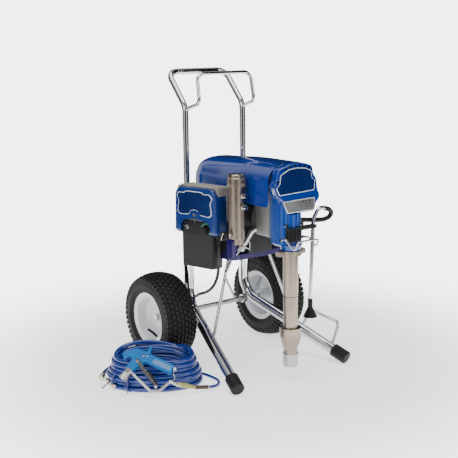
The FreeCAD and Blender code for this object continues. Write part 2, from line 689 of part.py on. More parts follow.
def hose_heap():
    outer = Part.makeLoft([oval_wire(COIL, 171, 110, 0), oval_wire(COIL, 169, 105, 34)],
                          True, True)
    upper = Part.makeLoft([oval_wire(COIL, 169, 105, 34), oval_wire(COIL, 143, 80, 98)],
                          True, True)
    hole = Part.Face(oval_wire(COIL, 115, 64, -1)).extrude(V(0, 0, 100))
    heap = outer.fuse(upper).cut(hole).removeSplitter()
    save("hose_coil", heap)
    fitting = rod(past_hose_end(-16), past_hose_end(8), 8.8)
    fitting = fitting.fuse(hexagon(past_hose_end(8), V(*HOSE_END_AXIS), 10.5, 18))
    fitting = fitting.fuse(rod(past_hose_end(26), past_hose_end(34), 7.8))
    save("hose_fitting", fitting.cut(heap))
    tube = cord_tube("whip hose", WHIP, WHIP_R)
    save("whip_hose", tube.cut(heap))


WHIP = [(-297, -360, 11), (-278, -360.5, 8.5), (-259, -355.8, 6.5), (-241.1, -343.9, 6),
        (-229.2, -326, 6), (-225, -305, 6), (-225, -280, 6), (-227.5, -254, 6),
        (-235, -222, 6), (-246, -191, 6)]

GUN_ORIGIN = (-442.0, -263.0, 104.0)
GUN_X = (0.8035, -0.5952, 0.0)
GUN_Y = (0.366, 0.495, 0.788)
TRIGGER_PIVOT = (-61.0, 4.0)


def gun_place(shape):
    return placed(shape, GUN_ORIGIN, GUN_X, GUN_Y)


def spray_gun():
    edge = [(-108, 14), (-112, 28), (-98, 40), (-62, 46), (-30, 34), (-17, 55), (-12, 53),
            (-19, 28), (-6, 19), (64, -15), (50, -43), (-22, -8), (-34, -2), (-52, -8),
            (-76, -32), (-98, -17), (-78, 8), (-84, 18), (-96, 18), (-101, 10)]
    body = outline(edge, 22, -11)
    body = body.cut(rod((-61, 4, -20), (-61, 4, 20), 3.05))
    nozzle = rod((-85, -22, 0), (-96, -38, 0), 12)
    nozzle = nozzle.fuse(cone((-96, -38, 0), (-108, -56, 0), 13, 17))
    nozzle = nozzle.cut(cone((-100, -44, 0), (-110, -59, 0), 6, 15))
    body = body.cut(rod((-85, -22, 0), (-96, -38, 0), 12))
    tube = bent_rod([(-82, -32, 0), (-60, -54, 0), (-16, -97, -2), (10, -99, -2), (50, -65, -2)],
                    5, [30, 14, 14])
    tube = tube.cut(nozzle).cut(body)
    tube = max(tube.Solids, key=lambda s: s.Volume)

    px, py = TRIGGER_PIVOT
    lever = [(-64, 8), (-57, 8), (-31, -28), (6, -82), (2, -86), (-3, -84), (-40, -36), (-66, 0)]
    trigger = outline(lever, 28, -14)
    trigger = trigger.cut(outline([(-80, 20), (-40, 20), (-28, -18), (-36, -40), (-80, -6)],
                                  22.8, -11.4))
    trigger = trigger.fuse(rod((px, py, -14), (px, py, 14), 3))
    save("gun_body", gun_place(body))
    save("gun_nozzle", gun_place(nozzle))
    save("gun_fluid_tube", gun_place(tube))
    save("gun_trigger", gun_place(trigger))

    swivel = placed_point(52, -67, -2)
    nut = (-406, -331, 40)
    sleeve = (-345, -352, 19)
    spring = WHIP[0]
    guard = rod(swivel, nut, 9).fuse(rod(nut, tuple(vec(nut) + (vec(sleeve) - vec(nut)) * 0.2), 8.5))
    guard = guard.fuse(cone(tuple(vec(nut) + (vec(sleeve) - vec(nut)) * 0.2), sleeve, 8, 6.5))
    guard = guard.fuse(rod(sleeve, spring, 7))
    guard = guard.cut(gun_place(tube)).cut(cord_tube("whip hose", WHIP, WHIP_R))
    save("whip_guard", guard)


def placed_point(u, v, n):
    x, y = vec(GUN_X), vec(GUN_Y)
    z = x.cross(y).normalize()
    return tuple(vec(GUN_ORIGIN) + x * u + y * v + z * n)


os.makedirs("parts", exist_ok=True)
solid_tube = cart()
tray(solid_tube)
wheels()
handle()
shroud()
front_cover()
motor()
rod_eye = gearbox()
drive_housing()
pump(rod_eye)
pail_hook()
drain()
manifold()
jumper()
control_unit(solid_tube)
supply_lead()
hose_heap()
spray_gun()
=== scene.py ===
# %% [markdown]
# # An airless paint sprayer on its cart
# The machine is a steel tube cart that carries an electric motor, a gearbox and a long
# vertical piston pump. A coiled paint hose and a spray gun lie on the floor beside it.
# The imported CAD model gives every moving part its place. This lesson adds the finish:
# treaded tyres, loose hose, glossy mouldings, plated metal and the small hardware.

# %% Load the frame
import bmesh
import bpy
import math
import random
from mathutils import Euler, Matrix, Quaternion, Vector


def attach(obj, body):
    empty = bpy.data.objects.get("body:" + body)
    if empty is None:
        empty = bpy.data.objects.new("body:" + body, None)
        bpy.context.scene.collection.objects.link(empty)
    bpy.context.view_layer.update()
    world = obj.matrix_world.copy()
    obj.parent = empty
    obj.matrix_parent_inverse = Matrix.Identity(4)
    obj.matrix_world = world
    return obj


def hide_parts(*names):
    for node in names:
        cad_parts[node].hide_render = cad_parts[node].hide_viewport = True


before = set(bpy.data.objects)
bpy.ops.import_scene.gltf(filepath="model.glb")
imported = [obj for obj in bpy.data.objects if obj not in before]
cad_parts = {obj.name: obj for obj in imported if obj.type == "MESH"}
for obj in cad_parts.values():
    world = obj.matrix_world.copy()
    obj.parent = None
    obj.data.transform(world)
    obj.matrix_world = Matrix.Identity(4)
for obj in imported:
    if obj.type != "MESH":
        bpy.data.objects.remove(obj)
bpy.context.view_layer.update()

# %% [markdown]
# ## Where things are
# Lengths are in metres. It is easier to think of the machine with Y = 0 at the axle,
# so places are written that way and `at()` moves them into the frame of the CAD parts.

# %% Places measured from the axle
AXLE_Y = 0.17915


def at(x, y, z):
    """A place written with Y = 0 at the axle, in the frame of the CAD parts."""
    return Vector((x, y + AXLE_Y, z))


# %% [markdown]
# ## The camera
# A camera on the front left, a little above the machine, sees the pump, the filter and
# the hose at once. It is made before anything else. A long lens keeps the tall cart from leaning.

# %% Camera
TURN = math.radians(36.528)
DROP = math.radians(11.667)
ROLL = math.radians(0.695)

camera_data = bpy.data.cameras.new("camera")
camera = bpy.data.objects.new("camera", camera_data)
bpy.context.scene.collection.objects.link(camera)
bpy.context.scene.camera = camera
look = Vector((math.sin(TURN) * math.cos(DROP), math.cos(TURN) * math.cos(DROP), -math.sin(DROP)))
camera.location = at(-1.96358, -2.73717, 1.15333)
camera.rotation_mode = "QUATERNION"
camera.rotation_quaternion = Quaternion(look, ROLL) @ look.to_track_quat("-Z", "Y")
camera_data.sensor_width = 36.0
camera_data.lens = 71.66
camera_data.clip_end = 60.0
print("camera at", tuple(round(c, 3) for c in camera.location))

# %% [markdown]
# ## Shared tools for finished pieces
# Every piece is drawn in its final place and then handed over in the same way: it gets
# its material, rides on a body of the CAD model, and may stand in for a CAD node.
# One function does that, so no piece is forgotten.


# %% A gentle step
def smooth(t):
    """Goes from 0 to 1 with a soft start and a soft end."""
    t = max(0.0, min(1.0, t))
    return t * t * (3 - 2 * t)


# %% Hand a piece over
def hand_over(obj, body, material, stands_for=(), sharp=38.0):
    """Shades a mesh, gives it its finish and ties it to the CAD model."""
    if obj.type == "MESH":
        obj.data.shade_smooth()
        obj.data.set_sharp_from_angle(angle=math.radians(sharp))
    if material is not None:
        obj.data.materials.clear()
        obj.data.materials.append(material)
    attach(obj, body)
    if stands_for:
        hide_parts(*stands_for)
    return obj


# %% Make, flatten and join objects
def new_object(name, data):
    obj = bpy.data.objects.new(name, data)
    bpy.context.scene.collection.objects.link(obj)
    return obj


def mesh_object(name, bm, shift=True):
    """A mesh object from a bmesh drawn with Y = 0 at the axle."""
    if shift:
        bmesh.ops.translate(bm, verts=bm.verts, vec=(0, AXLE_Y, 0))
    mesh = bpy.data.meshes.new(name)
    bm.to_mesh(mesh)
    bm.free()
    return new_object(name, mesh)


def part_of(name, bm, material):
    """A mesh object that already has its finish, to be joined with others."""
    obj = mesh_object(name, bm)
    obj.data.materials.append(material)
    return obj


def as_mesh(obj):
    """Turns an object, with its modifiers, into a plain mesh object of the same name."""
    bpy.context.view_layer.update()
    graph = bpy.context.evaluated_depsgraph_get()
    mesh = bpy.data.meshes.new_from_object(obj.evaluated_get(graph), depsgraph=graph)
    mesh.transform(obj.matrix_world)
    name = obj.name
    bpy.data.objects.remove(obj)
    mesh.name = name
    return new_object(name, mesh)


def joined(name, objects):
    """Several mesh objects as one. Their materials stay on their faces."""
    bm = bmesh.new()
    finishes = []
    for obj in objects:
        start = len(bm.faces)
        bm.from_mesh(obj.data)
        bm.faces.ensure_lookup_table()
        local = list(obj.data.materials)
        for face in bm.faces[start:]:
            finish = local[face.material_index] if local else None
            if finish not in finishes:
                finishes.append(finish)
            face.material_index = finishes.index(finish)
        bpy.data.objects.remove(obj)
    mesh = bpy.data.meshes.new(name)
    bm.to_mesh(mesh)
    bm.free()
    for finish in finishes:
        if finish is not None:
            mesh.materials.append(finish)
    return new_object(name, mesh)


# %% [markdown]
# ## Drawing tools
# Most of this machine is turned, bent from wire or cut from plate. So four tools draw
# nearly all of it: `lathe` for turned parts, `plate` for flat outlines with a thickness,
# `block` for boxes, and `wire` for anything bent. Soft edges come from a bevel.


# %% Turned parts
def frame_of(axis):
    """Two directions square to an axis."""
    axis = Vector(axis).normalized()
    side = axis.cross(Vector((0, 0, 1)))
    if side.length < 0.01:
        side = Vector((1, 0, 0))
    side.normalize()
    return axis, side, axis.cross(side)


def lathe(bm, profile, base, axis=(0, 0, 1), segments=48):
    """Turns (radius, height) points about an axis. A closed profile makes a closed ring."""
    axis, side, up = frame_of(axis)
    base = Vector(base)
    rings = []
    for radius, height in profile:
        centre = base + axis * height
        if radius < 1e-6:
            rings.append([bm.verts.new(centre)])
            continue
        ring = []
        for k in range(segments):
            a = math.tau * k / segments
            ring.append(bm.verts.new(centre + (side * math.cos(a) + up * math.sin(a)) * radius))
        rings.append(ring)
    made = []
    for low, high in zip(rings, rings[1:]):
        for k in range(segments):
            j = (k + 1) % segments
            corners = [low[k % len(low)], low[j % len(low)],
                       high[j % len(high)], high[k % len(high)]]
            unique = list(dict.fromkeys(corners))
            if len(unique) > 2:
                made.append(bm.faces.new(unique))
    bmesh.ops.recalc_face_normals(bm, faces=made)
    return made


# %% Plates and blocks
def rounded_corner(before, corner, after, radius, most, steps):
    """Points that round a corner, taking at most a share of the sides next to it."""
    here = Vector(corner)
    back, ahead = Vector(before) - here, Vector(after) - here
    reach = min(radius, back.length * most, ahead.length * most)
    start, end = here + back.normalized() * reach, here + ahead.normalized() * reach
    shares = [k / steps for k in range(steps + 1)]
    return [start.lerp(here, t).lerp(here.lerp(end, t), t) for t in shares]


def rounded_outline(points, radius, steps=5):
    """A flat outline of (u, v) points with its corners rounded."""
    out = []
    for i, corner in enumerate(points):
        after = points[(i + 1) % len(points)]
        out += rounded_corner(points[i - 1], corner, after, radius, 0.48, steps)
    return out


def plate(bm, points, low, high, place):
    """A plate with an outline. place(u, v, w) says where each outline point goes."""
    lower = [bm.verts.new(place(p[0], p[1], low)) for p in points]
    upper = [bm.verts.new(place(p[0], p[1], high)) for p in points]
    faces = [bm.faces.new(lower), bm.faces.new(upper)]
    count = len(points)
    for i in range(count):
        j = (i + 1) % count
        faces.append(bm.faces.new((lower[i], lower[j], upper[j], upper[i])))
    bmesh.ops.recalc_face_normals(bm, faces=faces)
    return faces


def block(bm, low, high, place=None):
    """A box between two corners, moved by place."""
    x0, y0, z0 = low
    x1, y1, z1 = high
    corners = [(x0, y0), (x1, y0), (x1, y1), (x0, y1)]
    return plate(bm, corners, z0, z1, place or (lambda u, v, w: (u, v, w)))


# %% Soft edges
def soften(obj, width, segments=3, angle=30.0):
    """Rounds the edges of a piece with a bevel and makes the result plain."""
    bevel = obj.modifiers.new("rounded edges", "BEVEL")
    bevel.width = width
    bevel.segments = segments
    bevel.limit_method = "ANGLE"
    bevel.angle_limit = math.radians(angle)
    bevel.harden_normals = False
    return as_mesh(obj)


# %% Bent wire and hoses
def spline_curve(name, points, radius, detail=6):
    """A round curve through a NURBS cage of points given in the frame of the CAD parts."""
    data = bpy.data.curves.new(name, "CURVE")
    data.dimensions = "3D"
    spline = data.splines.new("NURBS")
    spline.points.add(len(points) - 1)
    for spot, p in zip(spline.points, points):
        spot.co = (p[0], p[1], p[2], 1.0)
    spline.order_u = 3
    spline.use_endpoint_u = True
    data.resolution_u = detail
    data.bevel_depth = radius
    data.bevel_resolution = 4
    data.use_fill_caps = True
    return new_object(name, data)


def wire(name, points, radius, bend, sides=10):
    """Wire bent at its corners, as a closed mesh. Points have Y = 0 at the axle."""
    path = [Vector(points[0])]
    for before, corner, after in zip(points, points[1:], points[2:]):
        path += rounded_corner(before, corner, after, bend, 0.45, 5)
    path.append(Vector(points[-1]))
    bm = bmesh.new()
    sweep(bm, path, [radius] * len(path), sides)
    return mesh_object(name, bm)


def sweep(bm, path, radii, sides=10):
    """A round skin along a path, with a rounded cap at each end."""
    tangents = []
    for i in range(len(path)):
        tangents.append((path[min(i + 1, len(path) - 1)] - path[max(i - 1, 0)]).normalized())
    side = tangents[0].orthogonal().normalized()
    rings = []
    for p, tangent, r in zip(path, tangents, radii):
        side = (side - tangent * side.dot(tangent)).normalized()
        up = tangent.cross(side)
        rings.append([bm.verts.new(p + (side * math.cos(a) + up * math.sin(a)) * r)
                      for a in (math.tau * k / sides for k in range(sides))])
    faces = []
    for low, high in zip(rings, rings[1:]):
        for k in range(sides):
            j = (k + 1) % sides
            faces.append(bm.faces.new((low[k], low[j], high[j], high[k])))
    for ring, p, tangent, r in ((rings[0], path[0], -tangents[0], radii[0]),
                                (rings[-1], path[-1], tangents[-1], radii[-1])):
        tip = bm.verts.new(p + tangent * r * 0.35)
        for k in range(sides):
            faces.append(bm.faces.new((ring[k], ring[(k + 1) % sides], tip)))
    bmesh.ops.recalc_face_normals(bm, faces=faces)
    return faces


# %% [markdown]
# ## Finishes that several parts share
# Each finish is written out node by node. A label on a node says what it does on the
# real surface, and a frame groups the nodes that make one effect. Metals, mouldings and
# rubbers differ only in numbers, so one function makes each family.


# %% Plated, polished and turned metal
def metal(name, colour, rough, grain, ring_scale=0.0, streak=(1.0, 1.0, 1.0)):
    """Bare or plated metal: fine lathe rings or grain, a little uneven shine."""
    mat = bpy.data.materials.new(name)
    mat.use_nodes = True
    tree = mat.node_tree
    tree.nodes.clear()
    out = tree.nodes.new("ShaderNodeOutputMaterial")
    surface = tree.nodes.new("ShaderNodeBsdfPrincipled")
    surface.label = "metal"
    surface.inputs["Metallic"].default_value = 1.0
    place = tree.nodes.new("ShaderNodeTexCoord")
    place.label = "place on the part"
    stretch = tree.nodes.new("ShaderNodeMapping")
    stretch.label = "direction of the grain"
    stretch.inputs["Scale"].default_value = streak
    cloud = tree.nodes.new("ShaderNodeTexNoise")
    cloud.label = "handling marks"
    cloud.inputs["Scale"].default_value = 14.0
    cloud.inputs["Detail"].default_value = 5.0
    shine = tree.nodes.new("ShaderNodeMapRange")
    shine.label = "uneven shine"
    shine.inputs["To Min"].default_value = rough * 0.75
    shine.inputs["To Max"].default_value = rough * 1.35
    tone = tree.nodes.new("ShaderNodeMix")
    tone.label = "tint of the plating"
    tone.data_type = "RGBA"
    tone.inputs["A"].default_value = (*colour, 1)
    tone.inputs["B"].default_value = (*[c * 0.82 for c in colour], 1)
    fine = tree.nodes.new("ShaderNodeTexNoise")
    fine.label = "fine grain"
    fine.inputs["Scale"].default_value = 420.0
    fine.inputs["Detail"].default_value = 3.0
    bump = tree.nodes.new("ShaderNodeBump")
    bump.label = "grain height"
    bump.inputs["Strength"].default_value = grain
    bump.inputs["Distance"].default_value = 0.0006
    effect = tree.nodes.new("NodeFrame")
    effect.label = "machined surface"
    for node in (stretch, fine, bump):
        node.parent = effect
    wear = tree.nodes.new("NodeFrame")
    wear.label = "colour and shine"
    for node in (cloud, shine, tone):
        node.parent = wear
    tree.links.new(place.outputs["Object"], stretch.inputs["Vector"])
    tree.links.new(place.outputs["Object"], cloud.inputs["Vector"])
    tree.links.new(stretch.outputs["Vector"], fine.inputs["Vector"])
    tree.links.new(cloud.outputs["Fac"], shine.inputs["Value"])
    tree.links.new(cloud.outputs["Fac"], tone.inputs["Factor"])
    tree.links.new(tone.outputs["Result"], surface.inputs["Base Color"])
    tree.links.new(shine.outputs["Result"], surface.inputs["Roughness"])
    if ring_scale:
        rings = tree.nodes.new("ShaderNodeTexWave")
        rings.label = "rings left by the lathe tool"
        rings.bands_direction = "Z"
        rings.inputs["Scale"].default_value = ring_scale
        rings.inputs["Distortion"].default_value = 0.4
        rings.location = (-700, -520)
        rings.parent = effect
        both = tree.nodes.new("ShaderNodeMath")
        both.label = "rings and grain together"
        both.operation = "MULTIPLY_ADD"
        both.inputs[1].default_value = 0.6
        both.location = (-460, -480)
        both.parent = effect
        tree.links.new(place.outputs["Object"], rings.inputs["Vector"])
        tree.links.new(rings.outputs["Fac"], both.inputs[0])
        tree.links.new(fine.outputs["Fac"], both.inputs[2])
        tree.links.new(both.outputs["Value"], bump.inputs["Height"])
    else:
        tree.links.new(fine.outputs["Fac"], bump.inputs["Height"])
    tree.links.new(bump.outputs["Normal"], surface.inputs["Normal"])
    tree.links.new(surface.outputs["BSDF"], out.inputs["Surface"])
    for node, spot in zip((out, surface, place, stretch, cloud, shine, tone, fine, bump),
                          ((300, 0), (0, 0), (-1200, 0), (-960, -320), (-960, 160), (-500, 40),
                           (-500, 320), (-700, -300), (-240, -320))):
        node.location = spot
    return mat


# %% Mouldings, enamel and rubber
def coating(name, colour, rough, grain, grain_scale, patch=0.85, coat=0.0, dust=None):
    """Plastic, paint or rubber: a dielectric with grain, patchy tone and, if shiny, a coat."""
    mat = bpy.data.materials.new(name)
    mat.use_nodes = True
    tree = mat.node_tree
    tree.nodes.clear()
    out = tree.nodes.new("ShaderNodeOutputMaterial")
    surface = tree.nodes.new("ShaderNodeBsdfPrincipled")
    surface.label = "coated or moulded surface"
    surface.inputs["Specular IOR Level"].default_value = 0.28 if rough > 0.4 else 0.5
    surface.inputs["Coat Weight"].default_value = coat
    surface.inputs["Coat Roughness"].default_value = 0.06
    place = tree.nodes.new("ShaderNodeTexCoord")
    place.label = "place on the part"
    patches = tree.nodes.new("ShaderNodeTexNoise")
    patches.label = "slow change of tone"
    patches.inputs["Scale"].default_value = 9.0
    patches.inputs["Detail"].default_value = 4.0
    tone = tree.nodes.new("ShaderNodeMix")
    tone.label = "colour with patches"
    tone.data_type = "RGBA"
    tone.inputs["A"].default_value = (*(dust or [c * patch for c in colour]), 1)
    tone.inputs["B"].default_value = (*colour, 1)
    shine = tree.nodes.new("ShaderNodeMapRange")
    shine.label = "handled and unhandled shine"
    shine.inputs["To Min"].default_value = rough * 0.8
    shine.inputs["To Max"].default_value = min(1.0, rough * 1.3)
    grit = tree.nodes.new("ShaderNodeTexNoise")
    grit.label = "mould grain or orange peel"
    grit.inputs["Scale"].default_value = grain_scale
    grit.inputs["Detail"].default_value = 4.0
    bump = tree.nodes.new("ShaderNodeBump")
    bump.label = "grain height"
    bump.inputs["Strength"].default_value = grain
    bump.inputs["Distance"].default_value = 0.0008
    colours = tree.nodes.new("NodeFrame")
    colours.label = "colour and shine"
    for node in (patches, tone, shine):
        node.parent = colours
    relief = tree.nodes.new("NodeFrame")
    relief.label = "surface relief"
    for node in (grit, bump):
        node.parent = relief
    tree.links.new(place.outputs["Object"], patches.inputs["Vector"])
    tree.links.new(place.outputs["Object"], grit.inputs["Vector"])
    tree.links.new(patches.outputs["Fac"], tone.inputs["Factor"])
    tree.links.new(patches.outputs["Fac"], shine.inputs["Value"])
    tree.links.new(tone.outputs["Result"], surface.inputs["Base Color"])
    tree.links.new(shine.outputs["Result"], surface.inputs["Roughness"])
    tree.links.new(grit.outputs["Fac"], bump.inputs["Height"])
    tree.links.new(bump.outputs["Normal"], surface.inputs["Normal"])
    tree.links.new(surface.outputs["BSDF"], out.inputs["Surface"])
    for node, spot in zip((out, surface, place, patches, tone, shine, grit, bump),
                          ((300, 0), (0, 0), (-1000, 0), (-760, 160), (-420, 320), (-420, 60),
                           (-760, -260), (-420, -260))):
        node.location = spot
    return mat


# %% The set of finishes
chrome = metal("chrome_plate", (0.62, 0.63, 0.65), 0.06, 0.03)
steel = metal("bright_steel", (0.58, 0.58, 0.58), 0.20, 0.10)
turned_steel = metal("turned_steel", (0.52, 0.51, 0.49), 0.25, 0.12, ring_scale=160.0)
nickel = metal("turned_nickel", (0.37, 0.305, 0.25), 0.30, 0.10, ring_scale=200.0,
               streak=(1, 1, 6))
brass = metal("machined_brass", (0.72, 0.60, 0.40), 0.26, 0.12)
cast_aluminium = metal("cast_aluminium", (0.62, 0.62, 0.60), 0.45, 0.30)
blue_moulding = coating("blue_moulding", (0.002, 0.032, 0.25), 0.13, 0.035, 60.0, 0.90, coat=0.8)
blue_enamel = coating("blue_enamel", (0.002, 0.058, 0.34), 0.20, 0.10, 110.0, 0.85, coat=0.7)
control_blue = coating("control_blue", (0.003, 0.030, 0.18), 0.24, 0.06, 90.0, 0.85, coat=0.5)
navy_paint = coating("navy_paint", (0.022, 0.012, 0.12), 0.22, 0.12, 120.0, 0.8, coat=0.6)
white_moulding = coating("white_moulding", (0.80, 0.80, 0.78), 0.42, 0.12, 260.0, 0.95)
white_enamel = coating("white_enamel", (0.80, 0.82, 0.84), 0.26, 0.06, 80.0, 0.94, coat=0.5)
black_moulding = coating("black_moulding", (0.008, 0.008, 0.009), 0.45, 0.25, 320.0, 0.7)
black_enamel = coating("black_enamel", (0.018, 0.018, 0.020), 0.28, 0.15, 140.0, 0.7, coat=0.4)
charcoal_paint = coating("charcoal_paint", (0.020, 0.019, 0.018), 0.42, 0.45, 420.0, 0.8, coat=0.2)
beige_paint = coating("beige_paint", (0.33, 0.31, 0.28), 0.45, 0.15, 200.0, 0.92)
tyre_rubber = coating("tyre_rubber", (0.008, 0.008, 0.008), 0.60, 0.5, 260.0,
                      dust=(0.016, 0.0155, 0.015))
soft_rubber = coating("soft_rubber", (0.008, 0.008, 0.009), 0.52, 0.3, 300.0, 0.8)
lead_jacket = coating("lead_jacket", (0.012, 0.012, 0.013), 0.38, 0.12, 180.0, 0.8)
hose_jacket = coating("hose_jacket", (0.002, 0.030, 0.25), 0.24, 0.05, 70.0, 0.82, coat=0.6)
gun_blue = coating("gun_blue", (0.006, 0.155, 0.46), 0.28, 0.12, 150.0, 0.88, coat=0.4)
grip_pale = coating("grip_insert", (0.13, 0.28, 0.50), 0.5, 0.5, 380.0, 0.85)
sleeve_green = coating("sleeve_green", (0.36, 0.36, 0.10), 0.34, 0.1, 160.0, 0.8, coat=0.2)
guard_brown = coating("guard_brown", (0.13, 0.080, 0.055), 0.45, 0.3, 220.0, 0.75)
plate_dark = coating("plate_dark", (0.004, 0.022, 0.13), 0.2, 0.02, 60.0, 0.35, coat=0.5)
plate_silver = metal("plate_silver", (0.66, 0.67, 0.70), 0.28, 0.08, streak=(1, 60, 60))
dial_green = coating("dial_marks", (0.03, 0.30, 0.16), 0.4, 0.05, 200.0, 0.8)
print("finishes made:", len(bpy.data.materials))

# %% [markdown]
# ## The supply lead
# A black mains lead leaves a strain relief under the control box, drops behind the frame
# and is stored as a neat coil behind the left wheel. It is one smooth curve: the points
# of its fall, then the turns of the coil, and last the short rise into its plug.

# %% Supply lead route
LEAD_D = 0.011
LEAD_FALL = [(-0.166, -0.252, 0.478), (-0.168, -0.254, 0.448), (-0.169, -0.254, 0.412),
             (-0.166, -0.246, 0.370), (-0.159, -0.224, 0.330), (-0.150, -0.185, 0.294),
             (-0.138, -0.135, 0.266), (-0.121, -0.080, 0.246), (-0.104, -0.028, 0.228),
             (-0.095, 0.020, 0.198), (-0.092, 0.062, 0.152), (-0.093, 0.094, 0.100),
             (-0.097, 0.124, 0.055), (-0.106, 0.152, 0.022), (-0.126, 0.177, 0.0075)]
LEAD_COIL = (-0.112, 0.258)
LEAD_LAYERS = ((0.0745, 0.0465, 0.0062), (0.0465, 0.0745, 0.0172), (0.0740, 0.0540, 0.0282))
LEAD_RISE = [(0.0350, 0.0447, 0.0320), (0.0511, 0.0382, 0.0375), (0.0701, 0.0248, 0.0405),
             (0.0812, 0.0044, 0.0415), (0.0821, -0.0188, 0.0440), (0.0726, -0.0400, 0.0480),
             (0.0546, -0.0548, 0.0525), (0.0320, -0.0600, 0.0540)]


def lead_points():
    """The fall, then clockwise turns that spiral in, out and in again."""
    points = [at(*p) for p in LEAD_FALL]
    turns_per_layer = 2.5
    per_turn = 14
    start = math.radians(-138)
    count = int(turns_per_layer * per_turn)
    for layer, (r_start, r_end, high) in enumerate(LEAD_LAYERS):
        for k in range(count):
            t = k / count
            angle = start - math.tau * (layer * turns_per_layer + k / per_turn)
            climb = min(1.0, k / 5) if layer else 1.0
            below = LEAD_LAYERS[layer - 1][2] if layer else high
            r = r_start + (r_end - r_start) * t
            points.append(at(LEAD_COIL[0] + r * math.cos(angle),
                             LEAD_COIL[1] + r * math.sin(angle),
                             below + (high - below) * climb))
    for dx, dy, high in LEAD_RISE:
        points.append(at(LEAD_COIL[0] + dx, LEAD_COIL[1] + dy, high))
    return points


def length_of(points):
    return sum((b - a).length for a, b in zip(points, points[1:]))


def curve_length(obj):
    """The length of a spline curve's own centre line, and the points along it."""
    depth, obj.data.bevel_depth = obj.data.bevel_depth, 0.0
    bpy.context.view_layer.update()
    graph = bpy.context.evaluated_depsgraph_get()
    mesh = bpy.data.meshes.new_from_object(obj.evaluated_get(graph), depsgraph=graph)
    path = [v.co.copy() for v in mesh.vertices]
    bpy.data.meshes.remove(mesh)
    obj.data.bevel_depth = depth
    return length_of(path), path


supply_lead = spline_curve("supply_lead_cord", lead_points(), LEAD_D / 2)
lead_length = curve_length(supply_lead)[0]
hand_over(supply_lead, "frame", lead_jacket, ("supply_lead", "supply_lead_coil"))
print("supply lead", round(lead_length, 3), "m")

# %% [markdown]
# ## The whip hose and the paint hose
# A thin whip hose joins the gun to the main hose. It leaves the spring guard, bends round
# the right end of the heap and runs along the back of the lowest turn. A coupling joins
# it to the thick hose, which is wound into a heap of loose oval turns with a hole.
# The turns drift in and out by one hose width at a time and rise a layer at a time.

# %% Whip hose route
WHIP_D = 0.0105
HOSE_D = 0.0160
HEAP = (-0.397, -0.180)
HEAP_TURN = math.radians(-36.5)


def heap_place(angle, long, short, high):
    """A place on an oval of four arcs about the heap's middle: tight ends, flat sides."""
    end_r = 0.0685 + 0.4 * max(0.0, short - 0.0700)
    run, spare = long - end_r, max(short - end_r, 0.0012)
    side_r = (run ** 2 + short ** 2 - end_r ** 2) / (2 * spare)
    meet = math.atan2(side_r - short, run)
    whole = end_r * meet + side_r * (math.pi / 2 - meet)
    quarter, rest = divmod(angle, math.pi / 2)
    quarter = int(quarter) % 4
    walked = rest / (math.pi / 2) * whole
    walked = whole - walked if quarter % 2 else walked
    if walked < end_r * meet:
        u, v = run + end_r * math.cos(walked / end_r), end_r * math.sin(walked / end_r)
    else:
        bend = meet + (walked - end_r * meet) / side_r
        u, v = side_r * math.cos(bend), side_r * math.sin(bend) - (side_r - short)
    u = -u if quarter in (1, 2) else u
    v = -v if quarter in (2, 3) else v
    cos, sin = math.cos(HEAP_TURN), math.sin(HEAP_TURN)
    return at(HEAP[0] + u * cos - v * sin, HEAP[1] + u * sin + v * cos, high)


WHIP = [(-0.297, -0.360, 0.011), (-0.278, -0.3605, 0.0085), (-0.259, -0.3558, 0.0065),
        (-0.2411, -0.3439, 0.006), (-0.2292, -0.3260, 0.006), (-0.225, -0.305, 0.006),
        (-0.225, -0.280, 0.006), (-0.2275, -0.254, 0.006), (-0.235, -0.222, 0.006)]
whip_points = [at(*p) for p in WHIP]
for degrees in range(36, 196, 16):
    whip_points.append(heap_place(math.radians(degrees), 0.1645, 0.1045, 0.0058))
whip_hose = spline_curve("whip_hose_cord", whip_points, WHIP_D / 2)
whip_length, whip_path = curve_length(whip_hose)
hand_over(whip_hose, "frame", hose_jacket, ("whip_hose",))
print("whip hose", round(whip_length, 3), "m")

# %% Paint hose turns
# Each row is one turn: half the long axis, half the short axis, and height.
HOSE_TURNS = [
    (0.1620, 0.1020, 0.0085), (0.1455, 0.0855, 0.0085), (0.1290, 0.0700, 0.0085),
    (0.1375, 0.0775, 0.0228), (0.1540, 0.0940, 0.0228), (0.1615, 0.1010, 0.0371),
    (0.1450, 0.0850, 0.0371), (0.1290, 0.0700, 0.0371), (0.1375, 0.0770, 0.0514),
    (0.1535, 0.0930, 0.0514), (0.1450, 0.0850, 0.0657), (0.1290, 0.0700, 0.0657),
    (0.1365, 0.0760, 0.0800), (0.1440, 0.0825, 0.0790), (0.1340, 0.0740, 0.0943),
    (0.1340, 0.0740, 0.0943)]
# The free end comes off the top at the back and lies down the outside of the heap:
# angle in degrees, half axes and height.
HOSE_END = [(50, 0.140, 0.080, 0.1050), (70, 0.149, 0.090, 0.0970), (90, 0.160, 0.101, 0.0840),
            (110, 0.170, 0.111, 0.067), (128, 0.177, 0.118, 0.051), (145, 0.1795, 0.1200, 0.038),
            (160, 0.1795, 0.1205, 0.031), (174, 0.1790, 0.1205, 0.028),
            (186, 0.1785, 0.1200, 0.031)]
HOSE_START = math.radians(208)
PER_TURN = 16


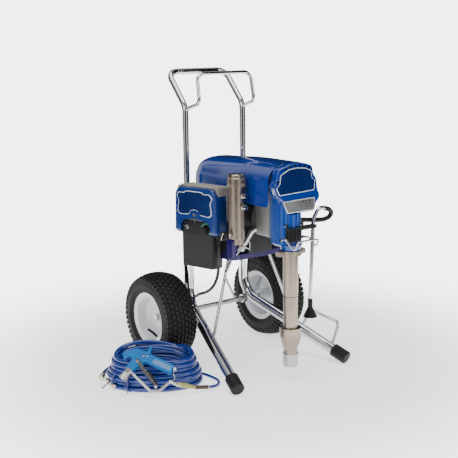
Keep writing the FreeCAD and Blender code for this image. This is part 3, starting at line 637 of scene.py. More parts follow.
def hose_points():
    """Loose oval turns: tight where the ties hold them, fanned out at the other end."""
    rand = random.Random(11)
    loose = [[rand.uniform(-1, 1) for _ in range(5)] for _ in range(len(HOSE_TURNS) + 2)]
    points = []
    for i in range(int((len(HOSE_TURNS) - 1.5) * PER_TURN) + 1):
        turn, part = divmod(i, PER_TURN)
        share = part / PER_TURN
        now, after = HOSE_TURNS[turn], HOSE_TURNS[min(turn + 1, len(HOSE_TURNS) - 1)]
        rises = after[2] > now[2] + 0.005
        across = smooth((share - 0.62) / 0.38) if rises else smooth((share - 0.45) / 0.55)
        up = smooth((share - 0.45) / 0.36)
        wild = [a + (b - a) * across for a, b in zip(loose[turn], loose[turn + 1])]
        angle = HOSE_START + math.tau * i / PER_TURN
        fan = 0.35 + 0.65 * (0.5 + 0.5 * math.cos(angle))
        long = now[0] + (after[0] - now[0]) * across + 0.0032 * wild[0] * fan
        short = now[1] + (after[1] - now[1]) * across + 0.0024 * wild[1] * fan
        high = now[2] + (after[2] - now[2]) * up
        high *= 1 + 0.30 * max(0.0, math.sin(angle))
        high += 0.0012 * wild[2] * math.sin(angle + wild[3] * 3) * min(turn, 4) / 4
        points.append(heap_place(angle, long * 1.006, short * 1.006, high))
    for degrees, long, short, high in HOSE_END:
        points.append(heap_place(math.radians(degrees), long, short, high))
    return points


hose = spline_curve("paint_hose_cord", hose_points(), HOSE_D / 2, detail=4)
hose_length, hose_path = curve_length(hose)
hand_over(hose, "frame", hose_jacket, ("hose_coil",))
print("paint hose", round(hose_length, 3), "m")

# %% [markdown]
# ## What is on the hoses
# A swaged ferrule and a hexagon nut end each hose. The coupling has one pair for the
# thin hose and one for the thick hose. Turned profiles make the ferrules, and a lathe
# with six sides makes the hexagons. Two cable ties hold the lower turns together.


# %% Hose fittings
def fitting(bm, base, tip, parts):
    """Turned and hexagonal lengths in a row between two places. A part is (share
    of the way at its start, share at its end, radius, sides)."""
    base, tip = Vector(base), Vector(tip)
    axis = tip - base
    for start, end, radius, sides in parts:
        edge = min(0.0012, radius * 0.12)
        a, b = start * axis.length, end * axis.length
        profile = [(0, a), (radius - edge, a), (radius, a + edge), (radius, b - edge),
                   (radius - edge, b), (0, b)]
        lathe(bm, profile, base, axis, sides)


whip_end, hose_start = whip_path[-1], hose_path[0]
reach = (hose_start - whip_end).normalized()
bm = bmesh.new()
fitting(bm, whip_end - reach * 0.012, hose_start + reach * 0.016,
        ((0, 0.26, 0.0066, 24), (0.26, 0.50, 0.0084, 6), (0.50, 0.72, 0.0086, 6),
         (0.72, 1.0, 0.0086, 24)))
bmesh.ops.translate(bm, verts=bm.verts, vec=(0, 0, 0.0012))
coupling = hand_over(mesh_object("hose_coupling", bm, shift=False), "frame", brass,
                     sharp=20)

hose_tip = hose_path[-1]
reach = (hose_path[-1] - hose_path[-3]).normalized()
bm = bmesh.new()
fitting(bm, hose_tip - reach * 0.016, hose_tip + reach * 0.034,
        ((0, 0.42, 0.0088, 28), (0.42, 0.50, 0.0062, 24), (0.50, 0.86, 0.0105, 6),
         (0.86, 1.0, 0.0078, 24)))
end_fitting = hand_over(mesh_object("hose_end_fitting", bm, shift=False), "frame", brass,
                        ("hose_fitting",), sharp=20)
print("hose ends at", tuple(round(c, 3) for c in hose_tip))


# %% Cable ties
def tie_band(name, degrees, tail):
    """A flat strap round the lower turns at one angle, with a head and a loose tail."""
    angle = math.radians(degrees)
    here = heap_place(angle, 0.170, 0.110, 0)
    inner = heap_place(angle, 0.104, 0.046, 0)
    out = (here - inner).normalized()
    along = Vector((-out.y, out.x, 0))
    loop = [(inner + out * 0.002, 0.001), (inner, 0.030), (inner + out * 0.006, 0.052),
            (here - out * 0.020, 0.060), (here - out * 0.001, 0.046), (here + out * 0.0035, 0.030),
            (here + out * 0.003, 0.008), (here - out * 0.004, 0.001)]
    path = [Vector((p.x, p.y, z)) for p, z in loop]
    bm = bmesh.new()
    ribbon(bm, path + path[:1], along, 0.0070, 0.0016)
    head = path[5]
    spine = [head, head + out * 0.006 + Vector((0, 0, 0.002))]
    spine += [head + out * 0.012 + tail * t + Vector((0, 0, -0.020 * t)) for t in (0.35, 0.7, 1.0)]
    ribbon(bm, spine, along, 0.0066, 0.0018)
    lower, upper = head - Vector((0.004, 0.004, 0.005)), head + Vector((0.004, 0.004, 0.005))
    block(bm, tuple(lower), tuple(upper))
    return soften(mesh_object(name, bm, shift=False), 0.0004, 2)


def ribbon(bm, path, across, wide, thick):
    """A flat strap with a rectangular section along a path."""
    rings = []
    for i, p in enumerate(path):
        tangent = (path[min(i + 1, len(path) - 1)] - path[max(i - 1, 0)]).normalized()
        side = (across - tangent * across.dot(tangent)).normalized()
        up = tangent.cross(side)
        rings.append([bm.verts.new(p + side * a * wide / 2 + up * b * thick / 2)
                      for a, b in ((-1, -1), (1, -1), (1, 1), (-1, 1))])
    faces = [bm.faces.new(rings[0]), bm.faces.new(rings[-1])]
    for low, high in zip(rings, rings[1:]):
        for k in range(4):
            j = (k + 1) % 4
            faces.append(bm.faces.new((low[k], low[j], high[j], high[k])))
    bmesh.ops.recalc_face_normals(bm, faces=faces)


for number, degrees, tail in ((1, 212, Vector((-0.030, -0.006, 0.004))),
                              (2, 236, Vector((-0.004, -0.036, 0.0)))):
    band = tie_band("cable_tie_%d" % number, degrees, tail)
    hand_over(band, "frame", hose_jacket)


# %% [markdown]
# ## Strain relief and plug
# A moulded rubber taper keeps the lead from kinking where it leaves the box. Its rings
# let it flex. The plug is a turned rubber body with grip rings and three flat pins.

# %% Strain relief
relief_profile = [(0.0, 0.0), (0.0120, 0.0), (0.0120, 0.005), (0.0105, 0.006)]
for ring in range(6):
    low = 0.008 + ring * 0.0055
    r = 0.0100 - ring * 0.00055
    relief_profile += [(r, low), (r, low + 0.0030), (r - 0.0016, low + 0.0034),
                       (r - 0.0016, low + 0.0052)]
relief_profile += [(0.0064, 0.0415), (0.0060, 0.043), (0.0, 0.043)]
bm = bmesh.new()
lathe(bm, relief_profile, (-0.1655, -0.2515, 0.4948), (-0.03, -0.035, -1), 36)
strain_relief = hand_over(mesh_object("strain_relief", bm), "frame", soft_rubber,
                          ("cord_gland",))

# %% Plug
PLUG = (LEAD_COIL[0], LEAD_COIL[1] - 0.060, 0.054)
plug_profile = [(0.0, -0.036), (0.0066, -0.036), (0.0085, -0.033), (0.0105, -0.028)]
for ring in range(4):
    low = -0.026 + ring * 0.0045
    plug_profile += [(0.0112 + ring * 0.0007, low), (0.0122 + ring * 0.0007, low + 0.0015),
                     (0.0122 + ring * 0.0007, low + 0.0030)]
plug_profile += [(0.0150, -0.006), (0.0165, 0.004), (0.0165, 0.015), (0.0176, 0.017),
                 (0.0176, 0.022), (0.0168, 0.024), (0.0, 0.024)]
bm = bmesh.new()
lathe(bm, plug_profile, PLUG, (-1, 0, 0), 32)
plug_body = part_of("plug_body", bm, soft_rubber)
bm = bmesh.new()
for side, up, wide, tall in ((-0.0065, 0.003, 0.0016, 0.0064), (0.0065, 0.003, 0.0016, 0.0064),
                             (0.0, -0.008, 0.0044, 0.0044)):
    block(bm, (PLUG[0] - 0.042, PLUG[1] + side - wide / 2, PLUG[2] + up - tall / 2),
          (PLUG[0] - 0.022, PLUG[1] + side + wide / 2, PLUG[2] + up + tall / 2))
pins = soften(mesh_object("plug_pins", bm), 0.0005, 2)
pins.data.materials.append(brass)
plug = joined("supply_plug_moulded", [plug_body, pins])
plug = hand_over(plug, "frame", None, ("supply_plug",))

# %% [markdown]
# ## A tree that sets blocks round an axis
# Tread blocks, ribs on a cap and grips on a knob are all the same idea: a small block
# repeated in rows round an axis. One Geometry Nodes tree does it for every part. Its
# inputs say how many blocks and rows there are, how far out they sit, and how much the
# rows drop and lean towards the edges, as on the crown of a tyre.

# %% The tree and its inputs
ring_tree = bpy.data.node_groups.new("blocks_round_an_axis", "GeometryNodeTree")
face = ring_tree.interface
face.new_socket("Geometry", in_out="OUTPUT", socket_type="NodeSocketGeometry")
for title, kind, first in (("Block", "NodeSocketObject", None), ("Count", "NodeSocketInt", 12),
                           ("Rows", "NodeSocketInt", 1), ("Radius", "NodeSocketFloat", 0.05),
                           ("Row Gap", "NodeSocketFloat", 0.01), ("Crown", "NodeSocketFloat", 0.0),
                           ("Lean", "NodeSocketFloat", 0.0), ("Stagger", "NodeSocketFloat", 0.0),
                           ("Centre", "NodeSocketVector", (0, 0, 0)),
                           ("Turn", "NodeSocketRotation", (0, 0, 0)),
                           ("Material", "NodeSocketMaterial", None)):
    socket = face.new_socket(title, in_out="INPUT", socket_type=kind)
    if first is not None:
        socket.default_value = first
nodes, links = ring_tree.nodes, ring_tree.links
given = nodes.new("NodeGroupInput")
given.location = (-1500, 0)
total = nodes.new("ShaderNodeMath")
total.label = "blocks in all"
total.operation = "MULTIPLY"
total.location = (-1250, 260)
points = nodes.new("GeometryNodeMeshLine")
points.label = "one point per block"
points.location = (-1050, 260)

# %% Which block this is, and its angle
number = nodes.new("GeometryNodeInputIndex")
number.location = (-1500, -300)
row = nodes.new("ShaderNodeMath")
row.label = "row, whole part"
row.operation = "DIVIDE"
row.location = (-1300, -260)
row_whole = nodes.new("ShaderNodeMath")
row_whole.label = "row number"
row_whole.operation = "FLOOR"
row_whole.location = (-1130, -260)
odd = nodes.new("ShaderNodeMath")
odd.label = "every other row"
odd.operation = "MODULO"
odd.inputs[1].default_value = 2.0
odd.location = (-960, -400)
shifted = nodes.new("ShaderNodeMath")
shifted.label = "place along the row, staggered"
shifted.operation = "MULTIPLY_ADD"
shifted.location = (-780, -400)
share = nodes.new("ShaderNodeMath")
share.label = "share of a full turn"
share.operation = "DIVIDE"
share.location = (-600, -400)
angle = nodes.new("ShaderNodeMath")
angle.label = "angle round the axis"
angle.operation = "MULTIPLY"
angle.inputs[1].default_value = math.tau
angle.location = (-430, -400)

# %% How far out its row sits
middle = nodes.new("ShaderNodeMath")
middle.label = "middle row"
middle.operation = "MULTIPLY_ADD"
middle.inputs[1].default_value = 0.5
middle.inputs[2].default_value = -0.5
middle.location = (-960, -80)
from_middle = nodes.new("ShaderNodeMath")
from_middle.label = "rows from the middle"
from_middle.operation = "SUBTRACT"
from_middle.location = (-780, -120)
across = nodes.new("ShaderNodeMath")
across.label = "distance along the axis"
across.operation = "MULTIPLY"
across.location = (-600, -120)
square = nodes.new("ShaderNodeMath")
square.label = "distance squared"
square.operation = "MULTIPLY"
square.location = (-430, 60)
drop = nodes.new("ShaderNodeMath")
drop.label = "drop towards the edge"
drop.operation = "MULTIPLY"
drop.location = (-260, 60)
reach = nodes.new("ShaderNodeMath")
reach.label = "radius of this row"
reach.operation = "SUBTRACT"
reach.location = (-90, 60)

# %% Where the block goes and how it leans
upright = nodes.new("ShaderNodeCombineXYZ")
upright.label = "block above the axis"
upright.location = (80, 0)
around = nodes.new("FunctionNodeAxisAngleToRotation")
around.label = "turn round the axis"
around.inputs["Axis"].default_value = (1, 0, 0)
around.location = (-90, -400)
put = nodes.new("FunctionNodeRotateVector")
put.label = "place of the block"
put.location = (260, -60)
lean_by = nodes.new("ShaderNodeMath")
lean_by.label = "lean of this row"
lean_by.operation = "MULTIPLY"
lean_by.location = (-430, -180)
lean = nodes.new("FunctionNodeAxisAngleToRotation")
lean.label = "lean sideways"
lean.inputs["Axis"].default_value = (0, 1, 0)
lean.location = (-90, -220)
pose = nodes.new("FunctionNodeRotateRotation")
pose.label = "lean first, then turn"
pose.rotation_space = "LOCAL"
pose.location = (260, -300)

# %% Copies, made real and given a finish
moved = nodes.new("GeometryNodeSetPosition")
moved.location = (460, 200)
shape = nodes.new("GeometryNodeObjectInfo")
shape.label = "the block"
shape.location = (260, -500)
copies = nodes.new("GeometryNodeInstanceOnPoints")
copies.location = (660, 100)
real = nodes.new("GeometryNodeRealizeInstances")
real.location = (840, 100)
home = nodes.new("GeometryNodeTransform")
home.label = "turn the axis and move it home"
home.location = (1020, 100)
finish_node = nodes.new("GeometryNodeSetMaterial")
finish_node.location = (1200, 100)
result = nodes.new("NodeGroupOutput")
result.location = (1380, 100)

# %% Frames round the groups of nodes
for members, title in (((number, row, row_whole, odd, shifted, share, angle), "which block"),
                       ((middle, from_middle, across, square, drop, reach), "crown"),
                       ((upright, around, put, lean_by, lean, pose), "place and lean")):
    group = nodes.new("NodeFrame")
    group.label = title
    for node in members:
        node.parent = group

# %% Links between the nodes
links.new(given.outputs["Count"], total.inputs[0])
links.new(given.outputs["Rows"], total.inputs[1])
links.new(total.outputs["Value"], points.inputs["Count"])
links.new(number.outputs["Index"], row.inputs[0])
links.new(given.outputs["Count"], row.inputs[1])
links.new(row.outputs["Value"], row_whole.inputs[0])
links.new(row_whole.outputs["Value"], odd.inputs[0])
links.new(odd.outputs["Value"], shifted.inputs[0])
links.new(given.outputs["Stagger"], shifted.inputs[1])
links.new(number.outputs["Index"], shifted.inputs[2])
links.new(shifted.outputs["Value"], share.inputs[0])
links.new(given.outputs["Count"], share.inputs[1])
links.new(share.outputs["Value"], angle.inputs[0])
links.new(given.outputs["Rows"], middle.inputs[0])
links.new(row_whole.outputs["Value"], from_middle.inputs[0])
links.new(middle.outputs["Value"], from_middle.inputs[1])
links.new(from_middle.outputs["Value"], across.inputs[0])
links.new(given.outputs["Row Gap"], across.inputs[1])
links.new(across.outputs["Value"], square.inputs[0])
links.new(across.outputs["Value"], square.inputs[1])
links.new(square.outputs["Value"], drop.inputs[0])
links.new(given.outputs["Crown"], drop.inputs[1])
links.new(given.outputs["Radius"], reach.inputs[0])
links.new(drop.outputs["Value"], reach.inputs[1])
links.new(across.outputs["Value"], upright.inputs["X"])
links.new(reach.outputs["Value"], upright.inputs["Z"])
links.new(angle.outputs["Value"], around.inputs["Angle"])
links.new(upright.outputs["Vector"], put.inputs["Vector"])
links.new(around.outputs["Rotation"], put.inputs["Rotation"])
links.new(across.outputs["Value"], lean_by.inputs[0])
links.new(given.outputs["Lean"], lean_by.inputs[1])
links.new(lean_by.outputs["Value"], lean.inputs["Angle"])
links.new(around.outputs["Rotation"], pose.inputs["Rotation"])
links.new(lean.outputs["Rotation"], pose.inputs["Rotate By"])
links.new(points.outputs["Mesh"], moved.inputs["Geometry"])
links.new(put.outputs["Vector"], moved.inputs["Position"])
links.new(given.outputs["Block"], shape.inputs["Object"])
links.new(moved.outputs["Geometry"], copies.inputs["Points"])
links.new(shape.outputs["Geometry"], copies.inputs["Instance"])
links.new(pose.outputs["Rotation"], copies.inputs["Rotation"])
links.new(copies.outputs["Instances"], real.inputs["Geometry"])
links.new(real.outputs["Geometry"], home.inputs["Geometry"])
links.new(given.outputs["Centre"], home.inputs["Translation"])
links.new(given.outputs["Turn"], home.inputs["Rotation"])
links.new(home.outputs["Geometry"], finish_node.inputs["Geometry"])
links.new(given.outputs["Material"], finish_node.inputs["Material"])
links.new(finish_node.outputs["Geometry"], result.inputs["Geometry"])

# %% Use the tree
SOCKETS = {item.name: item.identifier for item in face.items_tree if item.in_out == "INPUT"}


def blocks_round(name, block_object, **values):
    """Runs the tree on an empty mesh and keeps the result as a plain mesh."""
    host = new_object(name, bpy.data.meshes.new(name))
    repeat = host.modifiers.new("blocks round an axis", "NODES")
    repeat.node_group = ring_tree
    repeat[SOCKETS["Block"]] = block_object
    for title, value in values.items():
        repeat[SOCKETS[title.replace("_", " ")]] = value
    out = as_mesh(host)
    bpy.data.objects.remove(block_object)
    return out


def small_block(long, wide, high, edge):
    """A little rounded block whose foot is at its origin, for the tree to repeat."""
    bm = bmesh.new()
    block(bm, (-long / 2, -wide / 2, -0.002), (long / 2, wide / 2, high))
    return soften(mesh_object("little_block", bm, shift=False), edge, 1)


# %% [markdown]
# ## Wheels
# The tyres have a turf tread: eight rows of small square blocks, with every other row
# set half a block round. The carcass under them is turned from its section. The CAD
# model has the deep white rims; a seal ring at the hub and a slanted rubber valve stem
# low in the bowl are added to them.

# %% Tyres, valve stems and hub seals
HALF_TRACK = 0.255
TYRE_RADIUS = 0.165
TREAD_RADIUS = 0.1585
CROWN = 4.3
TYRE_SECTION = [(0.0850, -0.0420), (0.0965, -0.0482), (0.0990, -0.0540), (0.1060, -0.0595),
                (0.1160, -0.0622), (0.1300, -0.0615), (0.1400, -0.0585), (0.1465, -0.0545)]
TYRE_SECTION += [(TREAD_RADIUS - CROWN * (w * 0.0045) ** 2, w * 0.0045) for w in range(-11, 12)]
TYRE_SECTION += [(r, -w) for r, w in reversed(TYRE_SECTION[:8])]


def wheel_parts(side, name):
    """Tyre, valve stem and hub seal of one wheel. The outer face looks along side."""
    hub = (HALF_TRACK * side, 0, TYRE_RADIUS)
    bm = bmesh.new()
    lathe(bm, TYRE_SECTION, hub, (1, 0, 0), 128)
    for w in (-0.0612, 0.0612):
        lathe(bm, [(0.108, w * 0.99), (0.110, w * 1.035), (0.112, w * 1.0)], hub, (1, 0, 0), 96)
    carcass = mesh_object(name + "_carcass", bm)
    tread = blocks_round(name + "_tread", small_block(0.0112, 0.0150, 0.0064, 0.0016), Count=50,
                         Rows=8, Radius=TREAD_RADIUS, Row_Gap=0.0146, Crown=CROWN, Lean=8.0,
                         Stagger=0.5, Centre=at(*hub), Material=tyre_rubber)
    lugs = blocks_round(name + "_lugs", small_block(0.0036, 0.0150, 0.0120, 0.0012), Count=50,
                        Rows=2, Radius=0.1370, Row_Gap=0.1190, Stagger=0.5,
                        Centre=at(*hub), Material=tyre_rubber)
    tyre = joined(name + "_turf_tyre", [carcass, tread, lugs])
    hand_over(tyre, name + "_wheel", tyre_rubber, (name + "_tyre",))
    valve = wire(name + "_valve_stem", [(hub[0] + side * 0.030, -0.020, hub[2] - 0.066),
                                        (hub[0] + side * 0.040, -0.012, hub[2] - 0.052),
                                        (hub[0] + side * 0.052, 0.004, hub[2] - 0.040)],
                 0.0046, 0.006, sides=16)
    hand_over(valve, name + "_wheel", soft_rubber)
    bm = bmesh.new()
    lathe(bm, [(0.0100, -0.004), (0.0165, -0.004), (0.0165, 0.0035), (0.0150, 0.0050),
               (0.0100, 0.0050)], hub, (side, 0, 0), 32)
    grease_ring = mesh_object(name + "_hub_seal", bm)
    hand_over(grease_ring, name + "_wheel", guard_brown)
    print(name, "tyre faces", len(tyre.data.polygons))


wheel_parts(-1, "left")
wheel_parts(1, "right")

# %% [markdown]
# ## Blue shroud, front cover and its plates
# The front cover is a deep moulding with a soft edge. Six slots along its arch let air
# in, and an ear at the left has a screw hole. Two blank plates are set on its face: a dark
# one with a white line round it, and a silver one with a white border.

# %% Outlines of the front cover and its plates
COVER_EDGE = [(-83, 742), (-40, 754), (0, 757), (38, 752), (66, 742), (72, 712), (84, 700),
              (92, 655), (100, 646), (100, 628), (84, 614), (78, 586), (-44, 586), (-66, 634),
              (-92, 650), (-100, 690), (-90, 704)]
PLATE_EDGE = [(-74, 722), (-38, 738), (-2, 741), (34, 737), (58, 728), (62, 702), (76, 692),
              (74, 658), (-80, 653), (-92, 678), (-78, 692)]
BADGE_EDGE = [(-64, 632), (76, 634), (74, 590), (-44, 590)]
COVER_FRONT = -0.4715
VENTS = [(-0.052 + 0.0205 * k, 0.7475 - 0.00155 * (k - 2.3) ** 2) for k in range(6)]
SHROUD_FRONT, SHROUD_LONG, SHROUD_MIDDLE, SHROUD_ROWS = -0.441, 0.453, -0.008, 30


# %% Helpers for covers
def front_at(y_front):
    """Places an outline drawn in X and Z millimetres on a face looking forwards."""
    return lambda u, v, w: (u / 1000, y_front + w, v / 1000)


def shrunk(points, amount):
    """An outline drawn in towards its middle, by an amount on every side."""
    out = []
    lows = [min(p[i] for p in points) for i in (0, 1)]
    highs = [max(p[i] for p in points) for i in (0, 1)]
    for p in points:
        out.append([(lows[i] + highs[i]) / 2
                    + (p[i] - (lows[i] + highs[i]) / 2) * (1 - 2 * amount / (highs[i] - lows[i]))
                    for i in (0, 1)])
    return out


def cut_away(obj, tool):
    """Takes the tool's shape out of a piece."""
    hole = obj.modifiers.new("cut", "BOOLEAN")
    hole.object = tool
    hole.solver = "EXACT"
    hole.use_self = True
    out = as_mesh(obj)
    bpy.data.objects.remove(tool)
    return out


# %% Motor shroud
def shroud_section(y):
    """Half of the shroud's outline at a place along its length, as (side, height).
    The tail narrows and drops, and the ledge above the straight side fades forwards."""
    rear = max(0.0, (y + 0.075) / 0.087)
    pull = math.sqrt(max(0.0, 1 - min(1.0, rear) ** 2.4 * 0.88))
    half = 0.095 * (0.52 + 0.48 * pull)
    crown = 0.757 - 0.012 * smooth((y + 0.30) / 0.26) - 0.050 * (1 - pull)
    shoulder = 0.696 - 0.012 * (1 - pull)
    low = 0.612 + 0.028 * smooth((y + 0.250) / 0.03)
    ledge = 0.0075 * smooth((y + 0.30) / 0.16)
    outline = [(half, low), (half, low + 0.020), (half, 0.672), (half - ledge * 0.2, 0.684),
               (half - ledge, 0.692)]
    for k in range(1, 11):
        a = math.pi / 2 * k / 10
        outline.append(((half - ledge) * math.cos(a) ** 0.72,
                        shoulder + (crown - shoulder) * math.sin(a) ** 1.05))
    return outline


bm = bmesh.new()
rows = []
for k in range(SHROUD_ROWS + 1):
    y = SHROUD_FRONT + SHROUD_LONG * (1 - (1 - k / SHROUD_ROWS) ** 1.5)
    half_ring = shroud_section(y)
    ring = [(SHROUD_MIDDLE - side, high) for side, high in half_ring]
    ring += [(SHROUD_MIDDLE + side, high) for side, high in reversed(half_ring[:-1])]
    rows.append([bm.verts.new((x, y, z)) for x, z in ring])
for back, ahead in zip(rows, rows[1:]):
    for k in range(len(back) - 1):
        bm.faces.new((back[k], back[k + 1], ahead[k + 1], ahead[k]))
last = rows[-1]
for k in range(len(last) // 2 - 1):
    bm.faces.new((last[k], last[k + 1], last[-2 - k], last[-1 - k]))
bm.faces.new((last[len(last) // 2 - 1], last[len(last) // 2], last[len(last) // 2 + 1]))
bmesh.ops.recalc_face_normals(bm, faces=bm.faces[:])
shroud = mesh_object("motor_shroud_skin", bm)
smoothing = shroud.modifiers.new("smooth skin", "SUBSURF")
smoothing.levels = smoothing.render_levels = 1
wall = shroud.modifiers.new("wall", "SOLIDIFY")
wall.thickness = 0.0028
wall.offset = -1.0
shroud = as_mesh(shroud)
hand_over(shroud, "frame", blue_moulding, ("motor_shroud",), sharp=48)

# %% Front cover with its vents
bm = bmesh.new()
plate(bm, rounded_outline(COVER_EDGE, 9), 0.0, 0.0300, front_at(COVER_FRONT))
cover_piece = soften(mesh_object("cover_block", bm), 0.0052, 4, 50)
bm = bmesh.new()
plate(bm, rounded_outline(shrunk(COVER_EDGE, 6), 7), 0.0050, 0.0400, front_at(COVER_FRONT))
block(bm, (-0.060, -0.466, 0.560), (0.030, -0.400, 0.652))
for x, z in VENTS:
    block(bm, (x - 0.0066, -0.480, z - 0.0034), (x + 0.0066, -0.4480, z + 0.0034))
lathe(bm, [(0, -0.010), (0.0062, -0.010), (0.0062, 0.010), (0, 0.010)], (-0.083, -0.472, 0.698),
      (0, 1, 0), 20)
cover_piece = cut_away(cover_piece, mesh_object("cover_hollow", bm))
cover_piece.name = "ventilated_front_cover"
hand_over(cover_piece, "frame", blue_moulding, ("front_cover",), sharp=35)
# Black blocks just behind each vent slot are painted shade: they stand in for the dark inside of
# the cover.
bm = bmesh.new()
for x, z in VENTS:
    block(bm, (x - 0.0060, -0.4670, z - 0.0030), (x + 0.0060, -0.4640, z + 0.0030))
hand_over(mesh_object("vent_gauze", bm), "frame", black_moulding)

# %% Name plate and badge
for title, edge, line, inner, slot in (
        ("name_plate_face", PLATE_EDGE, white_enamel, plate_dark, "plate_blue"),
        ("badge_plate_face", BADGE_EDGE, white_enamel, plate_silver, "plate_silver")):
    bm = bmesh.new()
    plate(bm, rounded_outline(edge, 5), 0.0, 0.0016, front_at(-0.4728))
    rim = soften(mesh_object("rim", bm), 0.0005, 2)
    rim.data.materials.append(line)
    bm = bmesh.new()
    plate(bm, rounded_outline(shrunk(edge, 2.6), 4), 0.0, 0.0010, front_at(-0.4733))
    whole = joined(title, [rim, part_of("field", bm, inner)])
    hand_over(whole, "frame", None, (title.removesuffix("_face"),))
print("cover faces", len(cover_piece.data.polygons))

# %% [markdown]
# ## Control unit
# The control cover is an arched blue moulding with two legs beside the knob. A dark
# blank panel on it has a stepped white outline, and one screw sits under the panel. The
# unit is turned a little on the frame, so its pieces are drawn in its own directions.

# %% Control cover and panel
CONTROL_TURN = math.radians(14.0)


def ctl(x, y, z):
    """A place in the control unit's own directions, in millimetres."""
    c, s = math.cos(CONTROL_TURN), math.sin(CONTROL_TURN)
    return ((-215 + x * c - y * s) / 1000, (-180 + x * s + y * c) / 1000, z / 1000)


def ctl_place(u, v, w):
    return ctl(w * 1000, u, v)


COVER_SIDE = [(-96, 500), (-92, 640), (-78, 659), (78, 659), (92, 640), (96, 500)]
COVER_ARCH = [(-69, 480), (-67, 530), (-50, 545), (0, 551), (50, 545), (67, 530), (69, 480)]
bm = bmesh.new()
plate(bm, rounded_outline(COVER_SIDE, 10, 6), -0.0010, 0.0620, ctl_place)
shell = soften(mesh_object("control_block", bm), 0.0070, 4, 50)
bm = bmesh.new()
plate(bm, [(-90, 470), (-90, 654), (90, 654), (90, 470)], 0.0075, 0.0800, ctl_place)
plate(bm, rounded_outline(COVER_ARCH, 6), -0.0200, 0.0700, ctl_place)
shell = cut_away(shell, mesh_object("control_hollow", bm))
shell.name = "arched_control_cover"
hand_over(shell, "frame", control_blue, ("control_cover",), sharp=35)

# %% Blank panel, screw and top plate
PANEL_EDGE = [(-70, 642), (-40, 642), (-34, 648), (40, 648), (46, 641), (74, 641), (80, 628),
              (72, 612), (78, 572), (66, 562), (26, 566), (20, 578), (0, 583), (-20, 578),
              (-26, 566), (-66, 562), (-78, 572), (-72, 612), (-82, 628)]
bm = bmesh.new()
plate(bm, rounded_outline(PANEL_EDGE, 4), -0.0030, 0.0010, ctl_place)
line = part_of("panel_line", bm, white_enamel)
bm = bmesh.new()
plate(bm, rounded_outline(shrunk(PANEL_EDGE, 2.6), 4), -0.0037, -0.0020, ctl_place)
field = part_of("panel_field", bm, plate_dark)
hand_over(joined("blank_control_panel", [line, field]), "frame", None)

bm = bmesh.new()
lathe(bm, [(0, 0.0030), (0.0042, 0.0030), (0.0042, 0.0046), (0.0062, 0.0046), (0.0066, 0.0034),
           (0.0066, 0.0)], ctl(-1, 0, 566), Vector(ctl(-2, 0, 566)) - Vector(ctl(-1, 0, 566)), 24)
hand_over(mesh_object("control_screw", bm), "frame", steel)
bm = bmesh.new()
plate(bm, rounded_outline([(-84, 18), (84, 18), (84, 82), (-84, 82)], 6), 0.6600, 0.6625,
      lambda u, v, w: ctl(v, u, w * 1000))
top_plate = soften(mesh_object("control_top_plate", bm), 0.0008, 2)
hand_over(top_plate, "frame", beige_paint)

# %% Knob, its dial and the switch nut
KNOB = (-42, 516)
SWITCH = (48, 517)
facing = (Vector(ctl(-1, 0, 0)) - Vector(ctl(0, 0, 0))).normalized()
bm = bmesh.new()
lathe(bm, [(0, 0.0180), (0.0100, 0.0180), (0.0118, 0.0168), (0.0126, 0.0140), (0.0130, 0.0040),
           (0.0148, 0.0022), (0.0148, 0.0), (0, 0.0)], ctl(9.5, *KNOB), facing, 40)
block(bm, (-0.0009, -0.0009, 0.0), (0.0009, 0.0009, 0.0092),
      lambda u, v, w: tuple(Vector(ctl(-9.4, *KNOB)) + Vector((0, 0, 1)) * w
                            + Vector((-facing.y, facing.x, 0)) * u + facing * v))
knob = part_of("knob_body", bm, black_moulding)
turn = facing.to_track_quat("X", "Z")
grips = blocks_round("knob_grips", small_block(0.0110, 0.0016, 0.0009, 0.0003), Count=18,
                     Radius=0.0128, Centre=at(*ctl(1.5, *KNOB)),
                     Turn=turn.to_euler(), Material=black_moulding)
hand_over(joined("ribbed_pressure_knob", [knob, grips]), "pressure_knob", None,
          ("pressure_knob",), sharp=30)
bm = bmesh.new()
for k in range(28):
    a, b = math.radians(-140 + 10 * k), math.radians(-131 + 10 * k)
    mark = [(KNOB[0] + r * math.sin(t), KNOB[1] + r * math.cos(t))
            for r, t in ((18.6, a), (18.6, b), (23.2, b), (23.2, a))]
    plate(bm, mark, 0.0092, 0.0101, ctl_place)
dial = mesh_object("dial_marks", bm)
hand_over(dial, "frame", dial_green)
bm = bmesh.new()
lathe(bm, [(0.0052, 0.0035), (0.0085, 0.0035), (0.0100, 0.0015), (0.0100, 0.0), (0.0052, 0.0)],
      ctl(10, *SWITCH), facing, 6)
hand_over(mesh_object("switch_nut", bm), "frame", steel, sharp=20)

# %% [markdown]
# ## Filter, pump and tray hardware
# Fine ribs give a grip on the filter cap, wider ones stiffen the black rod guard, and
# the strainer is covered with a mesh. The tree for blocks round an axis makes all three.
# Two dark rings mark the joints of the pump, and bent wire clips sit near the tray.

# %% Ribs on the filter cap and the rod guard, mesh of the strainer
FILTER = (-0.143, -0.322)
PUMP = (-0.015, -0.454)
GUARD_FRONT = -0.4720
upright_turn = Euler((0, -math.pi / 2, 0))
ribs = blocks_round("filter_cap_ribs", small_block(0.0290, 0.0018, 0.0010, 0.0003), Count=56,
                    Radius=0.0284, Centre=at(*FILTER, 0.6885), Turn=upright_turn,
                    Material=nickel)
hand_over(ribs, "frame", nickel)
mesh_dots = blocks_round("strainer_mesh", small_block(0.0022, 0.0022, 0.0010, 0.0004), Count=40,
                         Rows=9, Row_Gap=0.0034, Radius=0.0232, Stagger=0.5,
                         Centre=at(*PUMP, 0.0700), Turn=upright_turn, Material=steel)
hand_over(mesh_dots, "frame", steel)
guard_ribs = blocks_round("rod_guard_ribs", small_block(0.0400, 0.0032, 0.0012, 0.0005), Count=14,
                          Radius=0.0368, Centre=at(*PUMP, 0.5175), Turn=upright_turn,
                          Material=black_moulding)
bm = bmesh.new()
bm.from_mesh(guard_ribs.data)
